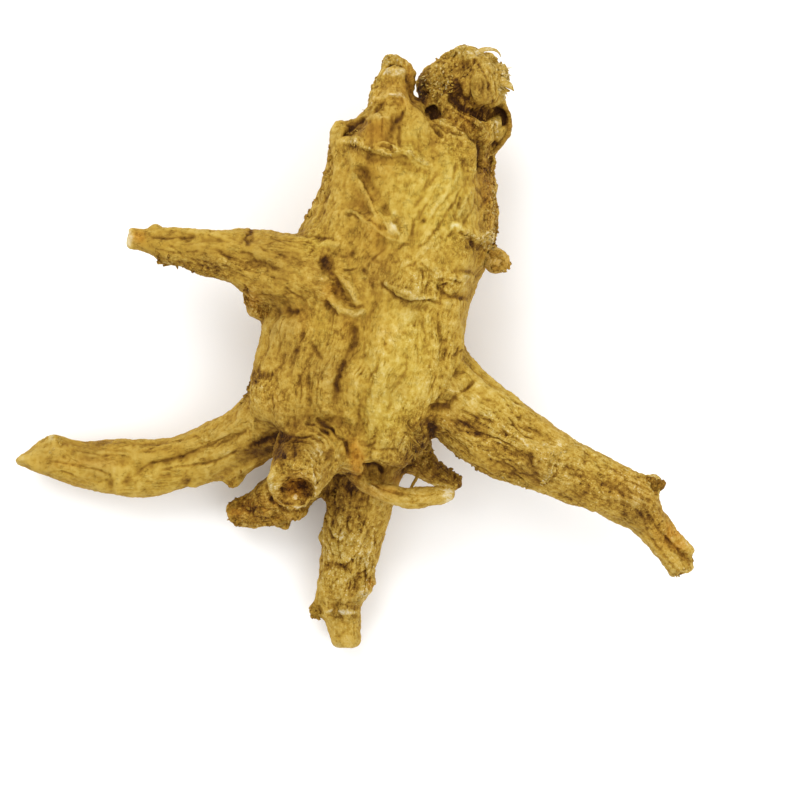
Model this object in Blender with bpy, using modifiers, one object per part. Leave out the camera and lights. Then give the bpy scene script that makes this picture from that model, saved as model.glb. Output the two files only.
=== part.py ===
"""A dried american ginseng root, grown as one piece and lying on its belly.

X runs to the right and Y towards the crown, as the root is seen from above, and Z is up from the surface
that it lies on. Lengths below are in millimetres and become metres through MM. The limbs are tapered tubes,
the knobs are ellipsoids. They are fused in one skin, folds, scars and wrinkles are pressed into it, and the
belly is cut flat where the root rests.
"""

import math

import bmesh
import bpy
import numpy as np
from mathutils import Matrix, Vector, noise

MM = 0.001
NODE = "ginseng_root"

# Driving dimensions
VOXEL = 0.42
FILLET_PASSES = 6
AXIS_STEP = 0.6
TRIANGLES = 10400
BELLY_HEIGHT = 0.9
FRINGE_SEED = 7
SKIN_COLOUR = (0.53, 0.36, 0.11, 1.0)
SKIN_ROUGHNESS = 0.62

# Each limb is a list of stations along its axis: x, y, z and the radius there.
LIMBS = {
    "torso": [
        (5.6, 27.6, 13.6, 6.6),
        (6.4, 24.5, 13.8, 9.1),
        (6.9, 20.0, 13.5, 10.6),
        (6.0, 15.0, 12.9, 11.5),
        (4.4, 10.0, 12.4, 11.3),
        (2.6, 5.0, 12.2, 11.2),
        (1.0, -1.0, 12.2, 11.3),
        (0.0, -6.0, 12.0, 10.8),
        (-0.2, -10.5, 11.6, 8.2),
        (0.6, -14.5, 11.2, 5.8),
    ],
    "right_lobe": [
        (9.0, 20.0, 15.5, 7.8),
        (7.6, 12.0, 16.2, 8.2),
        (6.4, 4.0, 16.8, 8.0),
        (5.6, -2.6, 17.0, 7.8),
        (4.2, -8.6, 16.4, 6.2),
        (3.2, -13.0, 14.8, 4.7),
    ],
    "left_lobe": [
        (1.4, 24.0, 15.6, 4.8),
        (0.3, 16.0, 16.2, 6.1),
        (-3.0, 8.0, 15.2, 7.0),
        (-5.0, 1.0, 14.6, 7.2),
        (-6.4, -5.0, 14.0, 7.2),
        (-6.6, -9.0, 13.4, 6.4),
    ],
    "left_arm": [
        (1.0, 6.4, 18.0, 4.8),
        (-4.5, 8.8, 18.2, 4.9),
        (-9.5, 10.0, 18.0, 4.6),
        (-14.5, 11.1, 17.6, 3.9),
        (-19.5, 11.9, 16.8, 3.1),
        (-24.0, 12.8, 15.8, 2.3),
        (-28.6, 13.6, 15.0, 1.5),
    ],
    "left_foot": [
        (-6.0, -6.5, 11.5, 6.4),
        (-11.6, -9.4, 10.6, 4.8),
        (-15.1, -11.5, 9.4, 4.1),
        (-19.5, -13.4, 7.8, 3.7),
        (-24.0, -14.8, 6.4, 3.6),
        (-29.5, -15.2, 5.4, 3.7),
        (-34.5, -14.5, 5.2, 3.4),
        (-38.6, -14.0, 5.4, 2.9),
        (-41.6, -14.1, 5.8, 2.2),
        (-43.4, -14.3, 6.0, 1.6),
    ],
    "front_stub": [
        (-4.6, -9.0, 12.0, 5.4),
        (-5.8, -12.4, 16.8, 4.6),
        (-6.9, -15.2, 21.0, 4.0),
        (-7.7, -17.3, 24.6, 3.5),
    ],
    "stub_roll": [
        (-5.4, -10.4, 19.4, 1.5),
        (-3.8, -11.8, 20.2, 1.5),
        (-3.2, -14.2, 20.2, 1.4),
        (-3.8, -16.6, 19.6, 1.1),
    ],
    "knotted_toe": [
        (-4.6, -12.0, 9.0, 4.4),
        (-7.4, -17.0, 8.0, 3.7),
        (-10.6, -19.6, 6.6, 3.2),
        (-13.2, -20.6, 5.6, 2.3),
        (-15.4, -21.0, 5.2, 1.3),
    ],
    "lower_leg": [
        (1.4, -13.0, 10.5, 5.2),
        (0.9, -18.0, 9.0, 4.3),
        (-0.3, -22.5, 7.4, 4.3),
        (-1.3, -28.0, 5.8, 3.8),
        (-2.2, -32.4, 4.9, 3.1),
        (-1.6, -34.3, 4.7, 2.3),
        (-1.4, -38.2, 4.2, 2.0),
    ],
    "pale_rootlet": [
        (-1.4, -13.6, 13.6, 1.2),
        (-0.2, -15.6, 14.6, 1.25),
        (1.8, -17.4, 15.2, 1.3),
        (5.2, -18.5, 15.4, 1.4),
        (7.4, -18.8, 15.3, 1.45),
        (9.6, -18.5, 15.1, 1.3),
        (12.4, -18.2, 14.8, 1.1),
    ],
    "hooked_toe": [
        (3.6, -9.0, 11.0, 4.8),
        (6.6, -12.2, 10.8, 3.1),
        (8.4, -14.4, 10.2, 2.2),
        (10.4, -16.0, 9.6, 1.8),
        (12.2, -16.9, 9.2, 1.4),
        (13.0, -17.8, 8.8, 1.1),
    ],
    "right_foot": [
        (5.5, -1.0, 14.0, 7.4),
        (10.5, -4.8, 15.6, 5.7),
        (15.6, -8.9, 17.0, 5.3),
        (20.5, -12.4, 17.6, 4.5),
        (25.5, -15.0, 17.4, 3.8),
        (30.5, -17.2, 16.6, 3.5),
        (35.0, -19.6, 15.4, 3.3),
        (38.0, -23.4, 14.2, 2.3),
        (40.2, -26.6, 13.2, 1.8),
        (41.2, -28.4, 12.8, 1.5),
    ],
    "split_tip": [
        (37.4, -21.6, 14.6, 1.6),
        (39.6, -23.8, 14.2, 1.2),
        (42.2, -26.0, 13.8, 1.0),
    ],
    "side_nub": [
        (14.0, 13.0, 14.0, 1.9),
        (16.8, 11.6, 14.2, 1.5),
        (18.3, 10.7, 14.4, 1.7),
        (19.0, 10.4, 14.4, 1.5),
    ],
    "stem_knob": [
        (3.8, 22.6, 17.0, 6.2),
        (4.4, 26.6, 17.8, 5.3),
        (4.7, 29.4, 18.2, 4.1),
        (4.4, 31.2, 18.2, 3.0),
        (4.4, 32.8, 18.0, 2.6),
        (4.5, 34.2, 17.8, 2.0),
        (4.4, 35.4, 17.6, 1.4),
    ],
    "bud_neck": [
        (8.5, 21.0, 14.5, 8.0),
        (11.4, 26.0, 14.6, 6.2),
        (13.2, 29.6, 14.6, 4.4),
        (13.4, 33.0, 14.6, 4.0),
    ],
    "outer_scale": [
        (17.3, 31.2, 14.6, 0.8),
        (18.3, 29.9, 14.6, 0.85),
        (18.9, 28.4, 14.5, 0.85),
        (18.8, 27.0, 14.4, 0.85),
        (18.0, 25.8, 14.3, 0.85),
        (16.6, 24.6, 14.2, 0.9),
    ],
    "inner_scale": [
        (11.0, 30.4, 18.6, 0.7),
        (13.2, 29.2, 19.6, 0.8),
        (15.0, 27.8, 19.4, 0.8),
        (16.0, 25.8, 18.6, 0.8),
    ],
    "low_stub_left": [
        (-6.0, 1.0, 7.0, 1.7),
        (-9.0, 0.5, 5.4, 1.2),
        (-11.3, 0.2, 4.8, 1.0),
    ],
    "low_stub_right": [
        (8.0, 4.0, 7.0, 1.6),
        (11.0, 4.5, 5.6, 1.2),
        (12.9, 4.7, 5.2, 1.0),
    ],
}

# Swellings and nodules: centre x, y, z and the three radii.
KNOBS = {
    "bud_body": ((15.3, 32.4, 16.0), (2.9, 3.7, 4.4)),
    "bud_shaggy_side": ((10.8, 33.0, 15.2), (2.8, 3.3, 4.1)),
    "bud_foot": ((10.0, 30.2, 15.2), (2.0, 1.6, 3.4)),
    "bud_top": ((13.6, 36.3, 15.0), (3.2, 1.6, 2.8)),
    "scale_bed": ((16.2, 27.4, 13.2), (2.6, 3.6, 2.6)),
    "right_scale": ((17.1, 26.8, 16.2), (0.8, 1.6, 2.0)),
    "bud_corner": ((18.0, 33.6, 15.0), (1.4, 1.3, 1.8)),
    "stem_lip": ((4.9, 34.0, 19.6), (1.3, 0.8, 0.8)),
    "stem_ledge": ((4.9, 31.0, 20.9), (1.3, 0.6, 0.8)),
    "stem_tip": ((4.2, 35.7, 17.6), (1.2, 0.9, 1.3)),
    "stem_side": ((5.9, 32.6, 17.0), (1.0, 2.5, 1.7)),
    "orange_block": ((2.7, 27.0, 21.6), (1.8, 1.6, 1.8)),
    "smooth_plate": ((7.4, 26.0, 20.6), (2.4, 3.8, 2.1)),
    "right_bulge": ((13.6, 24.4, 18.6), (2.0, 2.8, 2.6)),
    "shoulder": ((-1.1, 25.7, 15.5), (2.0, 2.9, 4.0)),
    "edge_nodule_a": ((17.2, 22.9, 13.4), (0.9, 0.8, 1.2)),
    "edge_nodule_b": ((17.3, 20.4, 13.2), (0.9, 0.8, 1.2)),
    "arm_knot": ((-12.0, 5.8, 14.0), (2.7, 2.5, 2.6)),
    "arm_knuckle": ((-0.8, 4.9, 22.2), (1.6, 1.1, 1.3)),
    "belly": ((3.0, 4.2, 8.0), (9.0, 14.0, 8.0)),
    "orange_wedge": ((0.3, -14.2, 17.0), (0.8, 1.9, 1.4)),
    "leg_nodule": ((-5.1, -33.2, 4.8), (1.35, 1.3, 1.2)),
    "leg_bump": ((2.4, -29.6, 5.6), (1.0, 1.2, 1.4)),
    "foot_nodule": ((37.2, -17.0, 15.6), (1.1, 1.1, 1.1)),
    "left_tip_corner": ((-38.2, -11.6, 6.0), (1.2, 1.0, 1.2)),
    "arm_flake_a": ((-24.0, 10.9, 15.2), (1.0, 0.9, 0.9)),
    "arm_flake_b": ((-19.5, 9.4, 15.6), (1.0, 0.8, 0.9)),
    "toe_knot": ((-15.6, -16.8, 8.6), (1.3, 1.2, 1.3)),
}

# The folds on the side that faces up are placed as seen from this point. Their x and y hold at this height.
EYE = np.array([5.5, -6.56, 500.9])
EYE_LEVEL = 15.0

# Folds: path in x and y, half width, height of the ridge along the path, and depth of the furrow beside it,
# which lies to the right of the path's direction.
UPPER_FOLDS = [
    ([(-0.2, 3.7), (-0.3, -0.4), (-1.6, -2.3), (-2.4, -4.7), (-2.6, -6.6), (-2.8, -10.6)], 1.0, -0.9, 0.0),
    ([(4.6, 14.6), (3.0, 16.3), (1.5, 18.7), (0.1, 21.1), (-0.3, 22.1)], 0.6, 0.7, -0.6),
    ([(4.2, 14.2), (3.2, 14.7), (2.1, 15.4), (1.0, 16.3), (-0.2, 16.9), (-1.5, 17.1)], 0.6, 0.6, -0.5),
    ([(3.5, 16.2), (4.2, 15.3), (5.1, 14.3), (6.0, 13.7)], 0.7, 0.5, 0.0),
    ([(-1.1, 25.9), (0.1, 26.1), (0.8, 25.2), (3.1, 24.4), (6.2, 24.4), (7.5, 23.6), (9.4, 22.6)], 0.6, 0.8, -0.8),
    ([(-1.7, 26.6), (-0.5, 27.6), (1.0, 28.6)], 0.6, -1.2, 0.0),
    ([(4.2, 28.8), (2.6, 29.1), (1.2, 28.7)], 0.5, 0.5, -0.9),
    ([(4.5, 29.2), (5.0, 27.8), (4.8, 26.6)], 0.7, -0.6, 0.0),
    ([(3.6, 31.2), (4.6, 31.7), (5.6, 31.5), (6.2, 31.0)], 0.5, 0.7, -0.6),
    ([(6.0, 34.2), (4.9, 34.6), (3.6, 34.2)], 0.5, 0.6, -0.6),
    ([(9.4, 28.4), (10.0, 25.6), (9.6, 23.0)], 0.6, -0.5, 0.0),
    ([(12.3, 34.6), (12.8, 33.0), (12.3, 31.4)], 0.7, -1.2, 0.0),
    ([(7.5, 35.6), (7.4, 33.4), (7.4, 31.0)], 0.45, -1.4, 0.0),
    ([(12.2, 31.0), (13.4, 29.9), (15.6, 29.2), (17.8, 29.4)], 0.7, -1.4, 0.0),
    ([(16.5, 25.7), (16.1, 26.7), (14.6, 28.6), (13.2, 29.3), (11.4, 30.4)], 0.5, 0.5, -0.6),
    ([(13.7, 26.2), (12.5, 26.9), (10.9, 28.1), (9.6, 28.3)], 0.5, 0.6, -0.6),
    ([(15.2, 20.9), (14.7, 22.4), (15.0, 23.9), (14.8, 25.1), (13.6, 25.8)], 0.6, 0.6, -0.9),
    ([(17.9, 29.4), (18.2, 28.0), (17.9, 26.4)], 0.5, -1.2, 0.0),
    ([(4.1, 7.4), (5.4, 6.8), (7.0, 6.2), (9.2, 6.1)], 0.6, 0.7, -0.7),
    ([(7.9, 10.7), (9.2, 9.9), (10.4, 9.6)], 0.5, 0.5, -0.4),
    ([(10.4, 8.8), (11.8, 8.4), (13.2, 8.3)], 0.5, 0.5, -0.4),
    ([(10.1, 7.4), (11.2, 6.6), (13.7, 6.2)], 0.5, -0.6, 0.0),
    ([(12.4, 15.2), (13.4, 14.4), (14.6, 13.8), (16.6, 13.6), (17.6, 12.8)], 0.6, 0.7, -0.5),
    ([(14.4, -4.1), (13.2, -5.7), (11.5, -6.9), (9.5, -7.6)], 0.6, -0.6, 0.0),
    ([(-4.2, 11.6), (-3.3, 9.8)], 0.8, -0.9, 0.0),
    ([(-2.2, 9.1), (-1.0, 7.7), (0.1, 5.7)], 0.6, 0.7, -0.7),
    ([(1.2, 4.4), (-0.8, 4.2), (-2.1, 4.8), (-3.2, 5.9)], 0.6, 0.6, -0.5),
    ([(-12.0, 4.4), (-8.6, 4.6), (-5.6, 4.2)], 0.9, -0.9, 0.0),
    ([(-12.4, -0.6), (-9.4, -1.4), (-7.0, -1.2)], 0.9, -0.4, 0.0),
    ([(-4.9, -9.2), (-3.6, -9.7), (-2.6, -10.5), (-1.5, -11.7), (-0.8, -14.1)], 0.55, -1.0, 0.0),
    ([(-5.4, -9.6), (-4.1, -10.4), (-3.4, -11.7), (-3.2, -12.7)], 0.6, 0.5, 0.0),
    ([(-11.7, -11.8), (-9.5, -10.8), (-7.6, -10.9), (-4.8, -11.3)], 0.7, -0.9, 0.0),
    ([(-28.0, -16.3), (-26.1, -14.7), (-22.1, -13.7), (-16.8, -11.4), (-14.1, -10.6)], 0.6, -0.7, 0.0),
    ([(-37.5, -11.7), (-35.2, -12.7), (-32.1, -13.4), (-27.8, -14.1)], 0.6, -0.5, 0.0),
    ([(-14.4, 11.7), (-12.0, 10.4), (-9.4, 9.7), (-7.1, 9.7)], 0.6, -0.5, 0.0),
    ([(-26.1, 13.9), (-20.4, 13.9), (-16.8, 13.3)], 0.6, -0.4, 0.0),
    ([(-13.2, 15.3), (-13.1, 13.9), (-14.0, 12.6)], 0.5, -0.5, 0.0),
    ([(-3.2, -26.9), (-1.4, -27.4), (1.9, -26.9)], 0.5, -0.5, 0.0),
    ([(-0.1, -31.6), (0.6, -30.9), (1.2, -30.4), (2.0, -30.2)], 0.5, 0.5, -0.4),
    ([(0.5, -33.0), (-1.6, -33.1), (-3.5, -32.8)], 0.5, 0.5, -0.5),
    ([(12.0, -8.4), (14.2, -10.1), (17.0, -11.6), (19.2, -13.1)], 0.6, -0.6, 0.0),
    ([(25.5, -15.3), (29.2, -16.1), (32.4, -17.4), (34.5, -18.8)], 0.6, -0.6, 0.0),
    ([(38.6, -24.0), (39.8, -25.1), (41.8, -26.8)], 0.5, -0.9, 0.0),
]
LOWER_FOLDS = [
    ([(5.0, 24.0), (4.0, 16.0), (5.2, 9.0)], 1.0, -1.2, 0.0),
    ([(-6.0, 10.0), (-4.0, 2.0), (-6.5, -6.0)], 1.0, -1.3, 0.0),
    ([(8.0, 18.0), (12.0, 17.0), (15.5, 18.0)], 0.8, 1.0, -0.8),
    ([(7.0, 12.5), (11.0, 11.0), (15.0, 11.5)], 0.8, 1.0, -0.8),
    ([(8.0, 1.0), (11.0, -1.0), (13.0, 0.0)], 0.8, 1.0, -0.8),
    ([(-4.0, -9.0), (1.0, -10.5), (6.0, -9.0)], 1.0, -1.2, 0.0),
    ([(-3.0, 20.0), (0.0, 22.0), (4.0, 21.0)], 0.8, 1.0, -0.8),
]

# Round hollows: centre, radius, depth and the direction that they are pressed in.
DENTS = [
    ((9.5, 29.0, 18.4), 1.4, 1.6, (0.0, 0.0, -1.0)),
    ((9.4, -10.6, 14.0), 1.6, 1.0, (-0.6, 0.4, -0.7)),
    ((-7.2, -18.0, 24.4), 2.6, 2.6, (0.2, 0.5, -0.8)),
]

# Short scars across the limbs: how many there are to 10 mm of limb, their half length, and height.
SCARS_PER_10_MM = 1.4
SCAR_HALF_LENGTH = 1.2
SCAR_HEIGHT = 0.45
SCAR_SEED = 11

# Relief that follows the limbs: wavelength along, wavelength round, and height.
SWELLS = (9.0, 4.0, 0.8)
WRINKLES = (9.0, 2.4, 0.55)
FULL_RELIEF_RADIUS = 4.0


def clear_scene():
    for thing in list(bpy.data.objects):
        bpy.data.objects.remove(thing, do_unlink=True)


def new_collection(name):
    made = bpy.data.collections.new(name)
    bpy.context.scene.collection.children.link(made)
    return made


def evaluated_mesh(thing):
    """The object's mesh with its modifiers applied."""
    graph = bpy.context.evaluated_depsgraph_get()
    return bpy.data.meshes.new_from_object(thing.evaluated_get(graph))


def smooth_path(stations):
    """Points along a Catmull-Rom curve through the stations, about AXIS_STEP apart."""
    given = np.array(stations, float)
    ends = [2 * given[0] - given[1], *given, 2 * given[-1] - given[-2]]
    points = []
    for before, here, there, after in zip(ends, ends[1:], ends[2:], ends[3:]):
        count = max(2, round(float(np.linalg.norm(there[:3] - here[:3])) / AXIS_STEP))
        for t in np.arange(count) / count:
            bend = 2 * before - 5 * here + 4 * there - after
            twist = 3 * here - before - 3 * there + after
            points.append(here + 0.5 * t * (there - before + t * (bend + t * twist)))
    return np.array([*points, given[-1]])


def limb(name, stations, collection):
    """A tapered tube through the stations, as a closed mesh object."""
    curve = bpy.data.curves.new(name, "CURVE")
    curve.dimensions = "3D"
    curve.bevel_depth = MM
    curve.bevel_resolution = 6
    curve.use_fill_caps = True
    path = smooth_path(stations)
    spline = curve.splines.new("POLY")
    spline.points.add(len(path) - 1)
    for point, (x, y, z, radius) in zip(spline.points, path):
        point.co = (x * MM, y * MM, z * MM, 1.0)
        point.radius = radius
    tube = bpy.data.objects.new(name + "_curve", curve)
    collection.objects.link(tube)
    mesh = evaluated_mesh(tube)
    bpy.data.objects.remove(tube)
    skin = bmesh.new()
    skin.from_mesh(mesh)
    bmesh.ops.remove_doubles(skin, verts=skin.verts, dist=0.01 * MM)
    bmesh.ops.recalc_face_normals(skin, faces=skin.faces)
    skin.to_mesh(mesh)
    skin.free()
    collection.objects.link(bpy.data.objects.new(name, mesh))


def knob(name, centre, radii, collection):
    """A closed ellipsoid."""
    ball = bmesh.new()
    bmesh.ops.create_uvsphere(ball, u_segments=24, v_segments=16, radius=MM)
    mesh = bpy.data.meshes.new(name)
    ball.to_mesh(mesh)
    ball.free()
    mesh.transform(Matrix.Diagonal((*radii, 1.0)))
    made = bpy.data.objects.new(name, mesh)
    made.location = Vector(centre) * MM
    collection.objects.link(made)


def toe_fringe(collection):
    """Small nodules in a row under the knotted toe and at the end of it."""
    draw = np.random.default_rng(FRINGE_SEED)
    path = smooth_path(LIMBS["knotted_toe"])
    for count, share in enumerate(np.linspace(0.42, 1.0, 9)):
        x, y, z, radius = path[int(share * (len(path) - 1))]
        size = draw.uniform(1.0, 1.4)
        lean = math.radians(draw.uniform(-95, -25))
        out = radius * 1.05
        centre = (x + out * math.cos(lean), y + out * math.sin(lean), z + draw.uniform(-0.8, 0.8))
        knob(f"fringe_{count}", centre, (size, size * 0.9, size), collection)


def fuse(collection):
    """One skin round everything in the collection, with soft fillets where limbs meet."""
    bpy.context.view_layer.update()
    whole = bmesh.new()
    for thing in collection.objects:
        mesh = thing.data.copy()
        mesh.transform(thing.matrix_world)
        whole.from_mesh(mesh)
    mesh = bpy.data.meshes.new("fused")
    whole.to_mesh(mesh)
    whole.free()
    for thing in list(collection.objects):
        bpy.data.objects.remove(thing)
    fused = bpy.data.objects.new("fused", mesh)
    collection.objects.link(fused)
    remesh = fused.modifiers.new("skin", "REMESH")
    remesh.mode = "VOXEL"
    remesh.voxel_size = VOXEL * MM
    fillet = fused.modifiers.new("fillet", "SMOOTH")
    fillet.factor = 0.5
    fillet.iterations = FILLET_PASSES
    mesh = evaluated_mesh(fused)
    bpy.data.objects.remove(fused)
    return mesh


def read_points(mesh, what):
    """The mesh's vertex co or normal as rows of x, y and z."""
    rows = np.empty(len(mesh.vertices) * 3, np.float32)
    mesh.vertices.foreach_get(what, rows)
    return rows.reshape(-1, 3).astype(float)


def path_distance(points, path):
    """How far each point is from the path, its side (right is positive), and the share of the path before it."""
    nearest = np.full(len(points), np.inf)
    right = np.zeros(len(points))
    share = np.zeros(len(points))
    path = np.array(path, float)
    steps = np.linalg.norm(np.diff(path, axis=0), axis=1)
    starts = np.concatenate([[0.0], np.cumsum(steps)])
    for start, step, a, b in zip(starts, steps, path, path[1:]):
        heading = (b - a) / step
        t = np.clip((points - a) @ heading / step, 0.0, 1.0)
        offset = points - a - t[:, None] * (b - a)
        away = np.linalg.norm(offset, axis=1)
        closer = away < nearest
        nearest[closer] = away[closer]
        right[closer] = (offset[:, 0] * heading[1] - offset[:, 1] * heading[0])[closer]
        share[closer] = (start + t[closer] * step) / starts[-1]
    return nearest, right, share


def as_seen(points):
    """The x and y that the points have on EYE_LEVEL as seen from EYE."""
    scale = (EYE[2] - EYE_LEVEL) / (EYE[2] - points[:, 2])
    return EYE[:2] + (points[:, :2] - EYE[:2]) * scale[:, None]


def folds(points, normals, strokes, side):
    """The height of the folds at each point, on the side that faces up (1) or down (-1)."""
    height = np.zeros(len(points))
    facing = np.clip(side * normals[:, 2] * 2.5, 0.0, 1.0)
    places = as_seen(points) if side > 0 else points[:, :2]
    for path, half_width, rise, furrow in strokes:
        away, right, share = path_distance(places, path)
        fade = np.clip(np.sin(math.pi * (0.08 + 0.84 * share)) * 1.6, 0.0, 1.0)
        near = np.exp(-((away / (3.0 * half_width)) ** 4))
        height += rise * fade * np.exp(-((away / half_width) ** 2))
        height += furrow * fade * near * np.exp(-((right / half_width - 1.6) ** 2) * 1.6)
    return height * facing


def limb_frames(path):
    """The distance along a path and two directions across it at each of its points."""
    centres = path[:, :3]
    along = np.gradient(centres, axis=0)
    along /= np.linalg.norm(along, axis=1)[:, None]
    length = np.concatenate([[0.0], np.cumsum(np.linalg.norm(np.diff(centres, axis=0), axis=1))])
    side = np.cross(along[0], (0.0, 0.0, 1.0))
    first, second = [], []
    for direction in along:
        side = side - direction * (side @ direction)
        side = side / np.linalg.norm(side)
        first.append(side)
        second.append(np.cross(direction, side))
    return length, along, np.array(first), np.array(second)


def limb_space(points, path):
    """Each point as distance along the limb and two offsets across it, and how far out it lies in radii."""
    length, along, first, second = limb_frames(path)
    centres = path[:, :3]
    square = (points**2).sum(1)[:, None] - 2 * points @ centres.T + (centres**2).sum(1)[None]
    near = square.argmin(axis=1)
    offset = points - centres[near]
    straight = np.stack(
        [
            length[near] + (offset * along[near]).sum(1),
            (offset * first[near]).sum(1),
            (offset * second[near]).sum(1),
        ],
        axis=1,
    )
    return straight, np.sqrt(np.maximum(square.min(axis=1), 0.0)) / path[near, 3], path[near, 3]


def scars(straight, radius, length, draw):
    """Short raised lips across a limb, where rootlets grew."""
    height = np.zeros(len(straight))
    turn = np.arctan2(straight[:, 2], straight[:, 1])
    for _ in range(round(length / 10.0 * SCARS_PER_10_MM)):
        at, angle = draw.uniform(0.15, 0.95) * length, draw.uniform(-math.pi, math.pi)
        reach = SCAR_HALF_LENGTH * draw.uniform(0.6, 1.4)
        around = np.abs((turn - angle + math.pi) % (2 * math.pi) - math.pi) * radius
        along = straight[:, 0] - at - 0.25 * around
        lip = np.exp(-((along / 0.55) ** 2)) - 0.8 * np.exp(-(((along - 1.0) / 0.5) ** 2))
        height += SCAR_HEIGHT * lip * np.exp(-((around / reach) ** 4))
    return height


def relief(points):
    """Swellings, long wrinkles and scars, laid along whichever limb a point is on."""
    height, weight = np.zeros(len(points)), np.full(len(points), 1e-6)
    draw = np.random.default_rng(SCAR_SEED)
    for number, stations in enumerate(LIMBS.values()):
        path = smooth_path(stations)
        straight, out, radius = limb_space(points, path)
        share = np.exp(-(((out - 1.0) / 0.16) ** 2))
        share[share < 0.02] = 0.0
        shift = Vector((17.3 * number, 5.1, 9.7))
        tall = scars(straight, radius, straight[:, 0].max(), draw)
        for index in np.flatnonzero(share):
            s, a, b = straight[index]
            swell = noise.noise(Vector((s / SWELLS[0], a / SWELLS[1], b / SWELLS[1])) + shift)
            ridge = noise.noise(Vector((s / WRINKLES[0], a / WRINKLES[1], b / WRINKLES[1])) + shift)
            tall[index] += swell * SWELLS[2] + (0.35 - abs(ridge) * 2.2) * WRINKLES[2]
        height += share * tall * np.minimum(1.0, radius / FULL_RELIEF_RADIUS)
        weight += share
    return height / weight


def dent(points, centre, radius, depth, direction):
    """Presses a round hollow in along a direction."""
    away = np.linalg.norm(points - np.array(centre), axis=1) / radius
    points += np.outer(depth * np.clip(1.0 - away**2, 0.0, 1.0) ** 1.5, direction)


def sculpt(mesh):
    """Presses the relief, the folds and the hollows in the skin."""
    points = read_points(mesh, "co") / MM
    normals = read_points(mesh, "normal")
    height = relief(points)
    height += folds(points, normals, UPPER_FOLDS, 1)
    height += folds(points, normals, LOWER_FOLDS, -1)
    points = points + normals * height[:, None]
    for hollow in DENTS:
        dent(points, *hollow)
    mesh.vertices.foreach_set("co", (points * MM).astype(np.float32).ravel())
    mesh.update()


def thinned(mesh, collection):
    """The same shape in about TRIANGLES triangles."""
    dense = bpy.data.objects.new("dense", mesh)
    collection.objects.link(dense)
    triangles = sum(len(face.vertices) - 2 for face in mesh.polygons)
    fewer = dense.modifiers.new("fewer", "DECIMATE")
    fewer.ratio = TRIANGLES / triangles
    fewer.use_collapse_triangulate = True
    coarse = evaluated_mesh(dense)
    bpy.data.objects.remove(dense)
    return coarse


def cut_belly(mesh):
    """Cuts off what is lower than BELLY_HEIGHT, which leaves the flat spot that the root rests on."""
    skin = bmesh.new()
    skin.from_mesh(mesh)
    everything = skin.verts[:] + skin.edges[:] + skin.faces[:]
    cut = bmesh.ops.bisect_plane(
        skin,
        geom=everything,
        dist=0.001 * MM,
        plane_co=(0.0, 0.0, BELLY_HEIGHT * MM),
        plane_no=(0.0, 0.0, 1.0),
        clear_inner=True,
    )
    rim = [part for part in cut["geom_cut"] if isinstance(part, bmesh.types.BMEdge)]
    bmesh.ops.holes_fill(skin, edges=rim)
    bmesh.ops.triangulate(skin, faces=skin.faces)
    bmesh.ops.recalc_face_normals(skin, faces=skin.faces)
    skin.to_mesh(mesh)
    skin.free()


def stand_on_origin(mesh):
    """Moves the root so that the origin is under the middle of its box, on the surface that it lies on."""
    points = read_points(mesh, "co")
    low, high = points.min(axis=0), points.max(axis=0)
    middle = (low + high) / 2
    mesh.transform(Matrix.Translation((-middle[0], -middle[1], -low[2])))


def skin_material():
    made = bpy.data.materials.new("dried_root_skin")
    made.use_nodes = True
    shader = made.node_tree.nodes["Principled BSDF"]
    shader.inputs["Base Color"].default_value = SKIN_COLOUR
    shader.inputs["Roughness"].default_value = SKIN_ROUGHNESS
    shader.inputs["Metallic"].default_value = 0.0
    return made


def main():
    clear_scene()
    root = new_collection("american_ginseng_root")
    blanks = new_collection("blanks")
    for name, stations in LIMBS.items():
        limb(name, stations, blanks)
    for name, (centre, radii) in KNOBS.items():
        knob(name, centre, radii, blanks)
    toe_fringe(blanks)
    mesh = fuse(blanks)
    sculpt(mesh)
    mesh = thinned(mesh, blanks)
    cut_belly(mesh)
    stand_on_origin(mesh)
    mesh.name = NODE
    mesh.materials.append(skin_material())
    mesh.shade_smooth()
    root.objects.link(bpy.data.objects.new(NODE, mesh))


main()
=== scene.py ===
"""The looks of a dried american ginseng root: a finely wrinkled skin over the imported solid, with its scars,
crumbs, papery scraps of bark and single strands.

Work is done in millimetres and becomes metres through MM. Places read from the photograph are in its pixels,
right and down, and in_photo() gives the pixel at which a point of the root shows. What the photograph doesn't
show follows the limbs by rule.
"""

import math

import bmesh
import bpy
import numpy as np
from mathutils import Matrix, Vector
from mathutils.bvhtree import BVHTree


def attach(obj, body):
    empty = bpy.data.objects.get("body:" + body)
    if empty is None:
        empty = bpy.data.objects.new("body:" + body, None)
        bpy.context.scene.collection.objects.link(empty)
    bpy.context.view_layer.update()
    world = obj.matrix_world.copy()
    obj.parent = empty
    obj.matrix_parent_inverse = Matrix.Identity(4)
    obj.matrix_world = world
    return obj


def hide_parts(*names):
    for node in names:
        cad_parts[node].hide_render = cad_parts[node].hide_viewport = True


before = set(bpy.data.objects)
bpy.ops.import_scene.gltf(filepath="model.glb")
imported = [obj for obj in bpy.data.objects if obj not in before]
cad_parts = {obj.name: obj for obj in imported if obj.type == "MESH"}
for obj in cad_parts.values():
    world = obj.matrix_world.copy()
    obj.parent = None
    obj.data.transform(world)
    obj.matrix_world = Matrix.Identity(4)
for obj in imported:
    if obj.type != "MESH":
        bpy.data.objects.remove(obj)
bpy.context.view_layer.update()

MM = 0.001
NODE = "ginseng_root"
BODY = "root"
SLOT = "dried_root_skin"

# The photograph: its scale at the root's middle height, and the place and height that it was taken from
PIXELS_PER_MM = 8.0
PHOTO_SIZE = 800
MIDDLE_HEIGHT = 14.1
CAMERA_HEIGHT = 500.0
CAMERA_PLACE = (5.985, -6.278)
# The camera: its sensor in mm, and the nearest that it sees in metres
SENSOR_WIDTH = 36.0
NEAREST_SEEN = 0.01

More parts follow.
